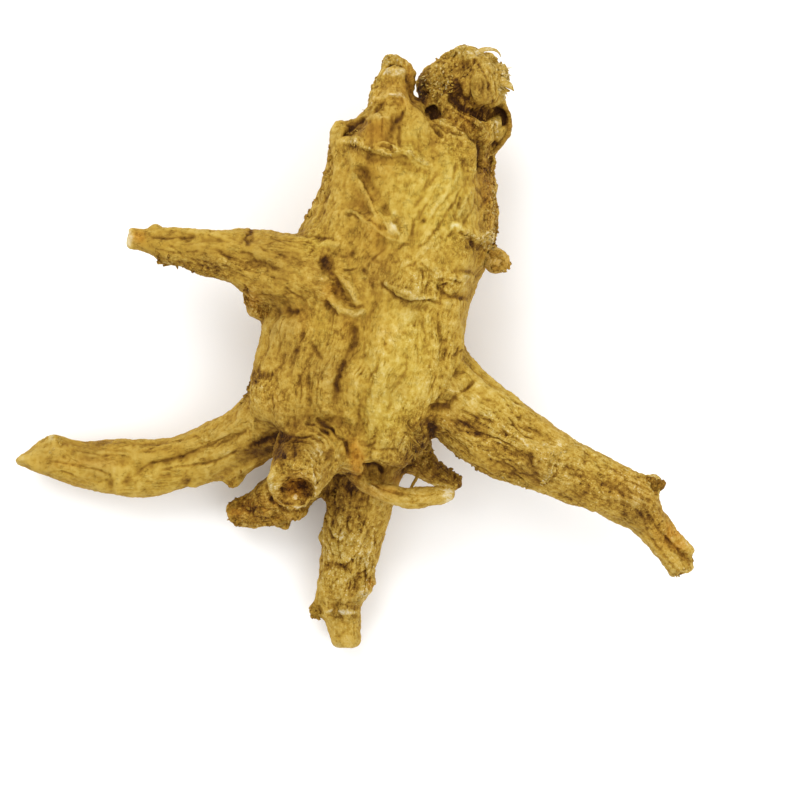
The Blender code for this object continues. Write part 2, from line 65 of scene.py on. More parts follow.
# Where the origin of the limbs' axes is in the frame, in mm
DRAWING_ORIGIN = np.array([0.485, 0.285, -0.9])

# The floor and the lights, in metres and watts
FLOOR_HALF_SIZE = 1.2
FLOOR_GAP = 0.0002
FLOOR_LOOK = {"Base Color": (0.98, 0.98, 0.98, 1.0), "Roughness": 0.9, "Specular IOR Level": 0.1}
WORLD_STRENGTH = 1.0
LIGHTS = {
    "key": {"place": (-0.20, 0.40, 0.62), "size": 0.45, "power": 2.67},
    "fill": {"place": (0.40, -0.20, 0.60), "size": 0.60, "power": 1.45},
}

# Fineness of the skin: the gap that is welded, the rounding of the solid, the size of the faces, and the
# passes and strength of the smoothing that takes away the facets
WELD_GAP = 0.001
ROUNDING_LEVELS = 2
VOXEL = 0.16
BASE_PASSES = 30
BASE_FACTOR = 0.5
LEVEL_PASSES = 132
LEVEL_FACTOR = 1.2

# The pieces that the skin is kept in, with the lowest y of each
SECTIONS = {
    "crown_skin": 20.5,
    "shoulder_skin": 10.0,
    "belly_skin": -2.0,
    "leg_skin": -11.3,
    "feet_skin": -16.3,
    "toes_skin": -100.0,
}

# A point shows in the photograph if it doesn't face down and a ray straight up from just over it is free.
FACING_GAIN = 3.0
FACING_START = 0.3
RAY_START = 0.4
RAY_LENGTH = 60.0
SEEN_PASSES = 4

# Long wrinkles: length along the limb, width across it, depth, and how narrow the furrow is
WRINKLES = [
    (9.0, 2.4, 0.14, 0.15),
    (5.0, 1.2, 0.10, 0.17),
    (2.4, 0.6, 0.06, 0.22),
]
WRINKLE_SEED = 60
WRINKLE_SEED_STEP = 7
FURROW_SHARPNESS = 1.3
# How they wander: size in mm, seed, and reach along the limb and both ways across it
WRINKLE_WANDER = [
    (5.0, 40, (2.0, 0.8, 0.8)),
    (1.6, 50, (0.5, 0.22, 0.22)),
]
# How they come and go: the usual share, its noises, and its least and most
WRINKLE_SHARE = 0.62
WRINKLE_BREAKS = [(1.1, 1.9, 58), (0.7, 4.5, 59)]
WRINKLE_SHARE_RANGE = (0.12, 1.4)
# On thin limbs they are lower, in step with the radius up to this one.
FULL_WRINKLE_RADIUS = 4.0
LEAST_WRINKLE_STRENGTH = 0.35

# Short dark streaks along the limbs
STREAK_SIZE = (2.2, 0.5, 0.5)
STREAK_SEED = 300
STREAK_GAIN = 3.0

# How far a limb's wrinkles reach over the skin round it, and how they blend with its neighbours'
AXIS_STEP = 0.8
LIMB_REACH = 3.5
LIMB_BLEND = 1.6
LIMB_FALL = 2.0
LEAST_WEIGHT = 1e-9

# Low uneven relief. Each noise is its strength, its size in mm and its seed, here and below.
PUCKERS = [(0.11, 1.3, 30)]
SMALL_PUCKERS = [(0.11, 0.546, 31)]
# Pits and shag have sharp crests: each one's level, its size in mm and its seed
PITS = (0.4, 0.5, 34)
SHAG = (0.35, 0.9, 32)
FINE_SHAG = (0.3, 0.45, 33)
FINE_SHAG_SHARE = 0.7
SHAG_HEIGHT = 0.38

# Marks: the share that they get of their listed width, height and shade, and how they waver, break and end
MARK_WIDTH = 0.72
MARK_RISE = 0.50
MARK_SHADE = 0.62
MARK_STEP = 4.0
MARK_REACH = 3
MARK_END = 0.06
MARK_TAPER = 1.8
WOBBLE_PIXELS = 1.1
WOBBLE_SIZE = 1.1
WOBBLE_SEED = 90
MARK_BREAKS = [(0.8, 2.2, 94), (0.4, 0.7, 95)]
MARK_BREAK_RANGE = (0.25, 1.6)

# Soft spots of the photograph: how far they reach in radii, and how sharply they and the patches fall off.
# Patches are made ragged by clouds, each a strength and a size in mm, with seeds that count up.
SPOT_REACH = 2.2
SPOT_SHARPNESS = 1.0
PATCH_SHARPNESS = 1.1
PATCH_CLOUDS = [(0.9, 1.4), (0.6, 0.6)]
PATCH_RAGGED_RANGE = (0.2, 2.0)
PATCH_MOST = 1.3

# What differs between smooth skin and rough skin: its value on each
ROUGH_LEVEL = 0.3
ROUGH_CLOUDS = [(0.3, 3.0, 170)]
WRINKLE_GAIN = (0.35, 1.55)
SMALL_PUCKER_GAIN = (0.5, 1.0)
PIT_HEIGHT = (0.0, 0.09)
PATCH_RAGGED = (0.25, 1.0)
SPECK_SHADE = (0.03, 0.09)
FURROW_SHADE = (0.07, 0.20)
STREAK_SHADE = (0.01, 0.14)
COARSE_GRAIN = (0.15, 1.7)

# Tone of the skin, from 0 in the darkest furrow to 1 on a fresh break: its level, and what each thing adds
TONE_LEVEL = 0.65
TONE_CLOUDS = [(0.04, 6.0, 130), (0.03, 2.6, 131)]
TONE_SPECKS = [(1.0, 1.1, 134), (1.0, 0.55, 132)]
CRACK_SHADE = 0.24
LIP_LIGHT = 0.12
DARK_PATCH_SHADE = 0.30
DARK_PATCH_SEED = 110
PALE_PATCH_LIGHT = 0.20
PALE_PATCH_SEED = 120
UNDERSIDE_SHADE = 0.05
UNDERSIDE_GAIN = 1.5
SHAG_LIGHT = 0.22
SHAG_SHADE = 0.08

# Painted shade in hollows and painted highlight on humps: passes of levelling, tone for each mm under the
# levelled skin, and its most
PAINTED_HOLLOW_SHADE = [
    (11, 1.5, 0.11),
    (50, 0.50, 0.13),
    (211, 0.17, 0.11),
]
PAINTED_HUMP_HIGHLIGHT_SHARE = 0.35

# Clouds of a tint all over the skin: share, size in mm, seed, gain, and what is then taken off
TINT_CLOUDS = {
    "warm": (0.4, 7.0, 140, 1.6, 0.35),
    "dust": (1.0, 5.0, 160, 1.4, 0.3),
}
TINT_CLOUD_MOST = 0.6
TINT_SEEDS = {"warm": 141, "yellow": 151, "dust": 161}

# What full tint multiplies the skin's colour by
TINTS = {
    "yellow": (1.06, 1.13, 1.05),
    "warm": (0.96, 0.76, 0.55),
    "dust": (0.86, 0.86, 1.0),
}

# Colours of the skin from the darkest furrow to a fresh pale break, as the tone goes from 0 to 1
TONES = [
    (0.00, (0.036, 0.013, 0.003)),
    (0.18, (0.097, 0.040, 0.005)),
    (0.36, (0.184, 0.090, 0.009)),
    (0.50, (0.274, 0.149, 0.018)),
    (0.64, (0.382, 0.230, 0.030)),
    (0.78, (0.468, 0.310, 0.060)),
    (0.90, (0.536, 0.390, 0.122)),
    (1.00, (0.605, 0.504, 0.288)),
]

# The material: its gloss, and its grain as cells to a mm, detail and tone, over the skin or along the limbs
SKIN_ROUGHNESS = 0.7
SKIN_SPECULAR = 0.08
NOISE_ROUGHNESS = 0.6
GRAIN = [
    ("skin", 1.4, 4.0, 0.09),
    ("skin", 5.0, 3.0, 0.11),
    ("limb", (1.0, 5.0, 5.0), 4.0, 0.10),
]
GRAIN_LOW = 0.2
GRAIN_HIGH = 0.8
# Dark specks and pale flecks: cells to a mm, detail, the noise where they start and are full, and tone
SPECKS = (2.3, 2.0, 0.60, 0.70, -0.16)
FLECKS = (3.1, 3.0, 0.60, 0.68, 0.16)
# Fine cracks along the limbs: cells to a mm each way, width and depth
CRACKS = [((0.35, 1.5, 1.5), 0.020, 1.0), ((0.9, 3.2, 3.2), 0.028, 0.7)]
CRACK_DETAIL = 2.0
CRACK_NOISE_ROUGHNESS = 0.5
CRACK_BREAKS = (0.8, 2.0, 0.45, 0.60)
CRACK_TONE = -0.15
CRACK_BUMP = -0.6
# Bump: strength, height in mm, and its noises as cells to a mm, detail and share
BUMP_STRENGTH = 0.8
BUMP_HEIGHT = 0.14
BUMPS = [(3.0, 5.0, 1.0), (0.9, 3.0, 1.6)]

# Each limb's axis, as in the solid: x, y, z and radius
LIMBS = {
    "torso": [
        (5.6, 27.6, 13.6, 6.6), (6.4, 24.5, 13.8, 9.1), (6.9, 20.0, 13.5, 10.6), (6.0, 15.0, 12.9, 11.5),
        (4.4, 10.0, 12.4, 11.3), (2.6, 5.0, 12.2, 11.2), (1.0, -1.0, 12.2, 11.3), (0.0, -6.0, 12.0, 10.8),
        (-0.2, -10.5, 11.6, 8.2), (0.6, -14.5, 11.2, 5.8),
    ],
    "right_lobe": [
        (9.0, 20.0, 15.5, 7.8), (7.6, 12.0, 16.2, 8.2), (6.4, 4.0, 16.8, 8.0), (5.6, -2.6, 17.0, 7.8),
        (4.2, -8.6, 16.4, 6.2), (3.2, -13.0, 14.8, 4.7),
    ],
    "left_lobe": [
        (1.4, 24.0, 15.6, 4.8), (0.3, 16.0, 16.2, 6.1), (-3.0, 8.0, 15.2, 7.0), (-5.0, 1.0, 14.6, 7.2),
        (-6.4, -5.0, 14.0, 7.2), (-6.6, -9.0, 13.4, 6.4),
    ],
    "left_arm": [
        (1.0, 6.4, 18.0, 4.8), (-4.5, 8.8, 18.2, 4.9), (-9.5, 10.0, 18.0, 4.6), (-14.5, 11.1, 17.6, 3.9),
        (-19.5, 11.9, 16.8, 3.1), (-24.0, 12.8, 15.8, 2.3), (-28.6, 13.6, 15.0, 1.5),
    ],
    "left_foot": [
        (-6.0, -6.5, 11.5, 6.4), (-11.6, -9.4, 10.6, 4.8), (-15.1, -11.5, 9.4, 4.1),
        (-19.5, -13.4, 7.8, 3.7), (-24.0, -14.8, 6.4, 3.6), (-29.5, -15.2, 5.4, 3.7),
        (-34.5, -14.5, 5.2, 3.4), (-38.6, -14.0, 5.4, 2.9), (-41.6, -14.1, 5.8, 2.2),
        (-43.4, -14.3, 6.0, 1.6),
    ],
    "front_stub": [
        (-4.6, -9.0, 12.0, 5.4), (-5.8, -12.4, 16.8, 4.6), (-6.9, -15.2, 21.0, 4.0),
        (-7.7, -17.3, 24.6, 3.5),
    ],
    "stub_roll": [
        (-5.4, -10.4, 19.4, 1.5), (-3.8, -11.8, 20.2, 1.5), (-3.2, -14.2, 20.2, 1.4),
        (-3.8, -16.6, 19.6, 1.1),
    ],
    "knotted_toe": [
        (-4.6, -12.0, 9.0, 4.4), (-7.4, -17.0, 8.0, 3.7), (-10.6, -19.6, 6.6, 3.2),
        (-13.2, -20.6, 5.6, 2.3), (-15.4, -21.0, 5.2, 1.3),
    ],
    "lower_leg": [
        (1.4, -13.0, 10.5, 5.2), (0.9, -18.0, 9.0, 4.3), (-0.3, -22.5, 7.4, 4.3), (-1.3, -28.0, 5.8, 3.8),
        (-2.2, -32.4, 4.9, 3.1), (-1.6, -34.3, 4.7, 2.3), (-1.4, -38.2, 4.2, 2.0),
    ],
    "pale_rootlet": [
        (-1.4, -13.6, 13.6, 1.2), (-0.2, -15.6, 14.6, 1.25), (1.8, -17.4, 15.2, 1.3),
        (5.2, -18.5, 15.4, 1.4), (7.4, -18.8, 15.3, 1.45), (9.6, -18.5, 15.1, 1.3),
        (12.4, -18.2, 14.8, 1.1),
    ],
    "hooked_toe": [
        (3.6, -9.0, 11.0, 4.8), (6.6, -12.2, 10.8, 3.1), (8.4, -14.4, 10.2, 2.2), (10.4, -16.0, 9.6, 1.8),
        (12.2, -16.9, 9.2, 1.4), (13.0, -17.8, 8.8, 1.1),
    ],
    "right_foot": [
        (5.5, -1.0, 14.0, 7.4), (10.5, -4.8, 15.6, 5.7), (15.6, -8.9, 17.0, 5.3), (20.5, -12.4, 17.6, 4.5),
        (25.5, -15.0, 17.4, 3.8), (30.5, -17.2, 16.6, 3.5), (35.0, -19.6, 15.4, 3.3),
        (38.0, -23.4, 14.2, 2.3), (40.2, -26.6, 13.2, 1.8), (41.2, -28.4, 12.8, 1.5),
    ],
    "split_tip": [
        (37.4, -21.6, 14.6, 1.6), (39.6, -23.8, 14.2, 1.2), (42.2, -26.0, 13.8, 1.0),
    ],
    "stem_knob": [
        (3.8, 22.6, 17.0, 6.2), (4.4, 26.6, 17.8, 5.3), (4.7, 29.4, 18.2, 4.1), (4.4, 31.2, 18.2, 3.0),
        (4.4, 32.8, 18.0, 2.6), (4.5, 34.2, 17.8, 2.0), (4.4, 35.4, 17.6, 1.4),
    ],
    "bud_neck": [
        (8.5, 21.0, 14.5, 8.0), (11.4, 26.0, 14.6, 6.2), (13.2, 29.6, 14.6, 4.4), (13.4, 33.0, 14.6, 4.0),
    ],
    "low_stub_left": [
        (-6.0, 1.0, 7.0, 1.7), (-9.0, 0.5, 5.4, 1.2), (-11.3, 0.2, 4.8, 1.0),
    ],
    "low_stub_right": [
        (8.0, 4.0, 7.0, 1.6), (11.0, 4.5, 5.6, 1.2), (12.9, 4.7, 5.2, 1.0),
    ],
}

# Shaggy places: pixel x and y, radius in pixels, and strength. They fade out at SHAG_REACH radii.
SHAGGY_PLACES = [
    (432, 84, 18, 1.0), (442, 66, 12, 0.9), (462, 51, 9, 0.7), (500, 72, 8, 0.9), (504, 90, 7, 0.9),
    (392, 60, 9, 0.8), (493, 168, 9, 0.8), (493, 205, 8, 0.6),
]
SHAG_REACH = 1.5

# Places where the solid's facets are levelled: pixel x and y, radii in pixels, and share
LEVELLED_PLACES = [
    (378, 129, 20, 16, 1.6), (396, 86, 16, 18, 0.7), (462, 82, 12, 22, 0.9), (385, 152, 30, 8, 0.7),
    (492, 172, 12, 18, 0.8), (494, 215, 14, 44, 0.8), (345, 446, 12, 20, 0.8), (335, 425, 12, 8, 0.6),
    (420, 440, 20, 24, 0.6), (256, 300, 14, 14, 0.6), (250, 505, 26, 16, 0.4), (460, 125, 20, 14, 0.5),
    (405, 277, 16, 8, 0.8),
]

# Pushes that bring the outline to the photograph's, in order: pixel x and y, height and radius in mm, and
# push in mm
PUSHES = [
    (17, 446, 5.5, 3.2, (0.5, -1.1, 0.0)), (18, 474, 5.5, 3.0, (0.5, 0.9, 0.0)),
    (54, 437, 6.5, 1.4, (0.0, 0.8, 0.3)), (380, 80, 19.7, 2.4, (0.9, 0.0, -0.5)),
    (409, 74, 15.8, 2.4, (0.9, 0.3, 0.3)), (402, 63, 16.0, 1.8, (0.7, 0.3, 0.0)),
    (460, 84, 16.5, 2.6, (0.0, 0.0, 1.6)), (504, 66, 15.5, 1.6, (0.5, 0.3, 0.0)),
    (496, 128, 13.4, 2.2, (0.3, 0.0, 2.0)), (419, 86, 14.0, 3.2, (-0.6, 0.0, 0.0)),
    (497, 218, 13.3, 4.0, (0.3, 0.0, 0.0)), (648, 478, 15.8, 1.6, (0.0, 0.3, 0.2)),
    (680, 575, 12.6, 1.2, (0.2, 0.7, 0.0)), (668, 577, 12.0, 1.0, (-0.1, -0.4, 0.0)),
    (345, 448, 16.9, 4.2, (0.0, 0.0, 2.2)), (336, 434, 17.9, 2.6, (0.0, 0.0, 1.4)),
    (354, 463, 16.8, 2.8, (0.0, 0.0, 1.4)), (432, 450, 10.0, 1.2, (-0.3, -0.2, 0.0)),
    (302, 463, 24.6, 2.2, (0.0, 0.0, 0.3)), (131, 229, 15.0, 1.2, (-0.2, 0.2, 0.0)),
    (132, 247, 15.0, 1.2, (-0.1, -0.25, 0.0)), (480, 75, 18.0, 2.2, (0.0, 0.0, 0.4)),
    (90, 439, 5.6, 5.0, (0.0, -0.85, 0.0)), (140, 494, 5.4, 7.0, (0.0, -0.25, 0.0)),
    (200, 487, 7.5, 5.0, (0.0, -0.25, 0.0)), (19, 461, 5.0, 3.2, (-0.5, 0.0, 0.0)),
    (225, 416, 9.5, 6.0, (0.15, -0.3, 0.0)), (262, 332, 11.5, 5.5, (0.6, 0.0, 0.0)),
    (250, 309, 12.5, 3.6, (0.4, 0.3, 0.0)), (144, 255, 14.5, 3.4, (0.0, 0.55, 0.0)),
    (155, 228, 15.0, 1.2, (0.0, 0.45, 0.0)), (286, 232, 17.5, 3.4, (0.0, -0.55, 0.0)),
    (228, 283, 17.0, 4.0, (0.1, 0.5, 0.0)), (473, 304, 13.0, 7.0, (-0.5, 0.0, 0.0)),
    (469, 345, 15.5, 6.0, (-0.35, 0.0, 0.0)), (492, 381, 13.5, 6.0, (-0.5, -0.5, 0.0)),
    (511, 398, 14.5, 4.0, (-0.35, -0.4, 0.0)), (588, 509, 15.5, 7.0, (-0.1, -0.35, 0.0)),
    (661, 505, 14.0, 3.4, (-0.55, -0.15, 0.0)), (377, 71, 17.5, 3.0, (0.35, -0.2, 0.0)),
    (326, 165, 14.5, 5.0, (0.4, 0.0, 0.0)), (237, 510, 4.0, 3.4, (-1.3, 0.2, 0.0)),
    (282, 528, 5.5, 2.2, (0.0, 0.45, 0.0)), (323, 503, 7.5, 2.4, (0.2, 0.6, 0.0)),
    (439, 456, 9.0, 2.4, (-0.35, -0.25, 0.0)), (460, 463, 12.0, 4.5, (-0.25, -0.3, 0.0)),
    (498, 62, 14.8, 2.2, (0.7, 0.5, 0.0)), (503, 98, 14.5, 2.0, (0.5, 0.0, 0.0)),
    (412, 86, 16.0, 2.4, (0.35, -0.2, 0.0)), (325, 626, 4.0, 2.2, (-0.4, 0.0, 0.0)),
    (377, 579, 4.8, 2.2, (-0.5, 0.0, 0.0)),
]

# Round knobs: pixel x and y, height and radius in mm
KNOBS = [
    (496, 261, 14.6, 1.72), (316, 612, 6.0, 1.0), (493, 161, 14.0, 0.85),
]

# Rough places, where relief and grain are coarser, and calm ones, below nought: pixel x and y, radii in
# pixels, and strength
ROUGH_PATCHES = [
    (460, 80, 50, 36, 0.9), (390, 60, 14, 9, 0.9), (372, 92, 8, 24, 0.9), (468, 130, 34, 26, 0.6),
    (360, 130, 18, 14, 0.5), (385, 148, 44, 8, 0.5), (492, 200, 9, 56, 1.0), (475, 245, 30, 12, 0.7),
    (430, 285, 44, 14, 0.6), (270, 508, 50, 22, 1.0), (295, 460, 34, 30, 0.6), (425, 450, 30, 34, 1.0),
    (450, 475, 24, 18, 1.0), (350, 560, 40, 80, 0.8), (490, 430, 44, 30, 0.6), (560, 465, 60, 30, 0.7),
    (625, 495, 44, 34, 0.7), (672, 545, 30, 36, 0.5), (205, 266, 54, 10, 0.7), (256, 302, 16, 16, 0.8),
    (252, 385, 18, 20, 0.8), (300, 380, 44, 40, 0.3), (345, 470, 14, 18, 0.4), (445, 360, 20, 40, 0.4),
    (315, 205, 16, 60, 0.4), (310, 280, 40, 34, 0.3), (190, 246, 60, 16, -0.3), (284, 272, 36, 30, -0.3),
    (120, 465, 90, 20, -0.25), (376, 128, 14, 12, -0.9), (420, 140, 18, 20, -0.3), (479, 84, 15, 20, -0.7),
    (400, 200, 50, 50, -0.15),
]

# Marks on the side that shows: points in the photograph's pixels, half width in mm, height in mm and shade.
# Furrows have negative heights and shades, raised pale lips have positive ones. A mark's dark is partly the
# skin's own dark cracks and partly painted shade in furrows and under overhangs; its pale is partly paler
# skin and partly painted highlight on the lips.
MARKS = [
    # the stem
    ([(384, 70), (390, 66), (398, 66), (403, 68)], 0.24, -0.3, -0.6),
    ([(404, 70), (406, 78), (409, 88), (412, 95)], 0.28, -0.25, -0.7),
    ([(383, 78), (386, 73), (391, 70), (398, 69), (403, 72), (404, 78)], 0.32, 0.45, 0.95),
    ([(405, 80), (409, 90), (415, 99)], 0.25, 0.25, 0.35),
    ([(384, 98), (388, 95), (394, 94), (400, 95), (404, 99)], 0.32, 0.42, 0.85),
    ([(403, 101), (396, 98), (388, 98), (383, 102), (379, 107), (374, 113)], 0.32, -0.5, -0.85),
    ([(370, 92), (367, 103), (362, 113)], 0.25, 0.25, 0.55),
    ([(378, 96), (373, 103), (367, 109)], 0.18, 0.25, 0.45),
    ([(381, 101), (376, 107), (370, 112)], 0.18, 0.25, 0.45),
    ([(345, 135), (350, 130), (357, 124), (364, 118)], 0.4, -0.9, -1.0),
    ([(348, 122), (357, 118), (366, 115)], 0.22, 0.3, 0.5),
    ([(331, 140), (332, 130), (337, 122), (343, 119)], 0.35, 0.25, 0.4),
    ([(391, 114), (393, 122), (391, 132), (393, 140)], 0.35, -0.2, -0.5),
    ([(367, 120), (371, 118), (376, 118)], 0.25, 0.3, 0.7),
    ([(379, 119), (384, 117), (390, 118)], 0.25, 0.3, 0.7),
    ([(404, 110), (401, 116), (396, 123)], 0.4, -0.5, -0.75),
    ([(400, 124), (399, 135), (400, 146)], 0.3, -0.3, -0.35),
    ([(420, 108), (424, 113), (430, 122), (436, 130), (441, 137)], 0.26, -0.35, -0.55),
    ([(345, 137), (351, 139), (357, 138), (362, 140), (364, 146), (371, 150), (381, 150), (388, 154),
      (396, 152), (404, 151), (411, 153), (416, 158), (424, 162), (432, 166)], 0.2, 0.4, 0.55),
    ([(352, 145), (357, 142), (362, 145), (366, 150)], 0.18, 0.3, 0.5),
    ([(345, 144), (351, 147), (360, 149), (368, 154), (380, 156)], 0.35, -0.35, -0.5),
    ([(383, 157), (393, 158), (403, 157), (411, 160)], 0.45, -0.35, -0.55),
    ([(414, 160), (422, 165), (430, 168)], 0.25, -0.3, -0.5),
    ([(379, 143), (384, 142), (390, 145), (396, 148)], 0.22, 0.35, 0.6),
    ([(378, 146), (386, 147), (394, 150)], 0.25, -0.25, -0.4),
    # under the bud
    ([(427, 113), (430, 109), (435, 110), (435, 116), (430, 118)], 0.55, -0.9, -1.3),
    ([(425, 110), (429, 105), (434, 104), (439, 107), (443, 113)], 0.26, 0.4, 0.8),
    ([(429, 121), (435, 120), (441, 121), (447, 125)], 0.24, 0.35, 0.65),
    ([(431, 125), (437, 125), (443, 127)], 0.22, -0.3, -0.8),
    ([(444, 124), (450, 127), (456, 130), (462, 133), (467, 138)], 0.24, 0.35, 0.55),
    ([(449, 131), (456, 134), (463, 137)], 0.22, -0.3, -0.6),
    ([(437, 128), (442, 131), (446, 135), (452, 132)], 0.2, 0.3, 0.45),
    ([(447, 103), (455, 107), (462, 112), (469, 117), (475, 123), (480, 129)], 0.22, 0.45, 0.65),
    ([(449, 108), (456, 112), (463, 117), (469, 123), (474, 130)], 0.26, -0.35, -0.6),
    ([(452, 99), (459, 104), (467, 110), (476, 117)], 0.2, 0.3, 0.4),
    ([(441, 138), (450, 136), (460, 137), (467, 140), (473, 144), (476, 151), (475, 160), (474, 169),
      (478, 176)], 0.32, 0.35, 0.4),
    ([(469, 138), (477, 143), (480, 152), (479, 162), (479, 172)], 0.4, -0.5, -0.7),
    # the next mark is a groove under the bud, darkened as its painted shadow
    ([(449, 92), (453, 100), (459, 105), (466, 111), (475, 115), (485, 117), (495, 115)], 0.5, -0.8, -1.2),
    ([(459, 98), (466, 104), (477, 109), (491, 110)], 0.4, 0.3, 0.2),
    ([(452, 76), (456, 83), (458, 91), (456, 100)], 0.6, -0.7, -1.0),
    ([(474, 58), (480, 66), (486, 77), (490, 88), (493, 100), (494, 110)], 0.22, -0.3, -0.8),
    ([(462, 62), (465, 72), (464, 82)], 0.24, -0.2, -0.45),
    ([(484, 78), (486, 90), (485, 101)], 0.2, 0.1, 0.2),
    ([(472, 64), (475, 76), (474, 90)], 0.3, 0.1, 0.15),
    ([(466, 60), (474, 57), (482, 60), (490, 68), (495, 80)], 0.22, 0.15, 0.2),
    ([(418, 79), (418, 88), (420, 97)], 0.35, -0.3, -1.0),
    ([(443, 84), (445, 91), (442, 94)], 0.35, -0.4, -0.8),
    ([(426, 92), (430, 96)], 0.3, -0.35, -0.8),
    ([(432, 84), (437, 87)], 0.25, -0.3, -0.6),
    ([(449, 80), (452, 86)], 0.35, -0.35, -0.9),
    ([(437, 60), (443, 58), (449, 61)], 0.3, -0.35, -0.8),
    ([(450, 57), (456, 54), (459, 58)], 0.35, -0.35, -0.8),
    ([(502, 109), (505, 116), (504, 126)], 0.55, -0.8, -0.9),
    ([(495, 108), (500, 113)], 0.5, -0.6, -0.9),
    ([(492, 144), (497, 146)], 0.45, -0.5, -1.0),
    ([(499, 118), (500, 128), (499, 138), (496, 143)], 0.3, 0.5, 1.3),
    ([(503, 108), (508, 112), (510, 120), (509, 130), (505, 139), (498, 148), (490, 155)], 0.3, 0.35, 0.35),
    ([(472, 126), (478, 130), (484, 137)], 0.3, -0.3, -0.5),
    ([(484, 148), (488, 142), (493, 138)], 0.22, 0.3, 0.5),
    # the body's upper part
    ([(353, 172), (357, 178), (362, 184), (366, 192), (369, 199), (372, 206), (375, 213)], 0.2, 0.22, 0.35),
    ([(361, 179), (366, 186), (371, 197), (374, 206), (379, 215)], 0.35, -0.45, -0.75),
    ([(358, 186), (364, 198), (368, 209)], 0.9, -0.15, -0.4),
    ([(343, 210), (350, 210), (356, 214), (362, 219), (368, 222), (374, 227), (380, 232), (387, 237),
      (396, 240), (403, 242)], 0.2, 0.26, 0.45),
    ([(356, 210), (364, 215), (372, 221), (378, 226)], 0.32, -0.45, -0.7),
    ([(377, 226), (382, 228), (388, 228)], 0.5, -0.45, -0.85),
    ([(345, 214), (352, 215), (359, 219)], 0.25, -0.3, -0.45),
    ([(384, 217), (388, 219), (392, 224), (395, 229), (400, 235), (402, 240)], 0.36, 0.45, 0.95),
    ([(384, 221), (388, 227), (393, 233)], 0.24, 0.25, 0.5),
    ([(414, 219), (413, 229), (411, 237), (406, 243), (398, 249)], 0.3, -0.3, -0.6),
    ([(402, 243), (408, 241), (412, 236)], 0.24, 0.25, 0.4),
    ([(441, 166), (433, 178), (425, 191), (418, 201), (411, 211)], 0.45, -0.25, -0.42),
    ([(457, 162), (454, 175), (450, 190)], 0.24, -0.2, -0.5),
    ([(465, 190), (459, 203), (455, 215), (453, 225)], 0.3, -0.2, -0.4),
    ([(473, 177), (475, 187), (481, 195)], 0.24, -0.1, -0.35),
    ([(430, 172), (427, 182), (421, 194)], 0.22, -0.15, -0.4),
    ([(348, 168), (345, 185), (343, 200)], 0.35, -0.15, -0.35),
    ([(330, 172), (329, 190), (322, 208)], 0.3, -0.2, -0.4),
    ([(437, 186), (429, 200), (421, 214)], 0.2, -0.12, -0.35),
    ([(468, 178), (458, 196), (448, 212), (436, 230), (424, 244)], 0.26, -0.2, -0.38),
    ([(452, 192), (440, 206), (428, 224), (418, 240)], 0.2, -0.15, -0.35),
    ([(478, 196), (470, 214), (462, 226)], 0.24, -0.15, -0.35),
    ([(460, 170), (448, 190), (436, 206), (424, 226)], 0.5, 0.35, 0.18),
    ([(444, 228), (430, 244), (414, 258), (398, 268)], 0.55, 0.35, 0.22),
    ([(474, 184), (466, 200), (456, 218), (446, 236)], 0.45, 0.3, 0.18),
    ([(426, 217), (423, 222)], 0.42, -0.2, -0.9),
    ([(387, 247), (377, 256), (368, 265), (365, 272), (363, 281)], 0.26, -0.16, -0.38),
    ([(429, 249), (422, 257), (414, 264), (400, 270), (388, 281)], 0.2, -0.08, -0.2),
    ([(418, 246), (426, 243), (432, 234)], 0.22, -0.2, -0.35),
    ([(398, 246), (404, 246), (411, 243)], 0.25, -0.2, -0.5),
    ([(460, 234), (467, 235), (471, 242), (476, 249)], 0.34, -0.35, -0.8),
    ([(466, 238), (472, 236), (478, 238), (483, 241)], 0.26, 0.35, 0.8),
    ([(483, 237), (487, 232), (492, 234), (493, 240), (489, 243)], 0.24, 0.4, 0.9),
    ([(481, 243), (486, 248), (492, 250), (497, 247)], 0.26, 0.4, 0.85),
    ([(455, 224), (458, 226), (460, 229)], 0.32, 0.4, 0.95),
    ([(459, 232), (464, 234)], 0.35, -0.3, -0.6),
    ([(420, 262), (426, 268), (433, 272)], 0.24, -0.3, -0.6),
    ([(422, 262), (427, 266), (432, 267), (438, 269), (441, 273), (441, 279)], 0.22, 0.2, 0.35),
    ([(430, 272), (434, 276), (439, 278)], 0.22, 0.3, 0.6),
    ([(438, 280), (446, 280), (455, 281), (463, 284)], 0.24, -0.3, -0.65),
    ([(449, 276), (454, 279), (460, 280), (465, 276), (470, 277)], 0.3, 0.35, 0.75),
    ([(450, 271), (462, 271), (472, 273), (477, 278)], 0.34, -0.3, -0.5),
    ([(384, 280), (382, 285), (387, 290), (392, 294), (397, 298), (404, 301), (412, 302), (420, 301),
      (428, 300), (434, 302), (443, 304)], 0.28, -0.5, -0.85),
    ([(388, 288), (394, 291), (400, 294), (407, 297)], 0.34, -0.35, -0.8),
    ([(390, 284), (398, 286), (406, 288), (414, 289), (420, 292)], 0.22, -0.15, -0.3),
    ([(387, 282), (389, 286)], 0.34, 0.35, 0.8),
    ([(403, 291), (409, 293), (414, 297), (422, 298), (432, 298)], 0.3, 0.35, 0.8),
    ([(438, 284), (440, 290), (446, 295), (455, 297), (466, 299)], 0.3, -0.4, -0.6),
    ([(435, 284), (442, 285), (449, 283)], 0.24, -0.25, -0.5),
    ([(444, 302), (450, 304), (456, 301)], 0.34, 0.3, 0.7),
    ([(452, 298), (460, 301), (466, 303)], 0.4, 0.2, 0.2),
    # the body's left side, with the arm's root
    ([(322, 255), (326, 262), (329, 270)], 0.85, -0.35, -0.8),
    ([(330, 271), (335, 278), (340, 287), (344, 297)], 0.42, -0.4, -0.65),
    ([(337, 274), (343, 280), (348, 287), (353, 295), (358, 303)], 0.45, 0.5, 0.55),
    ([(331, 282), (336, 290), (341, 298)], 0.7, -0.25, -0.5),
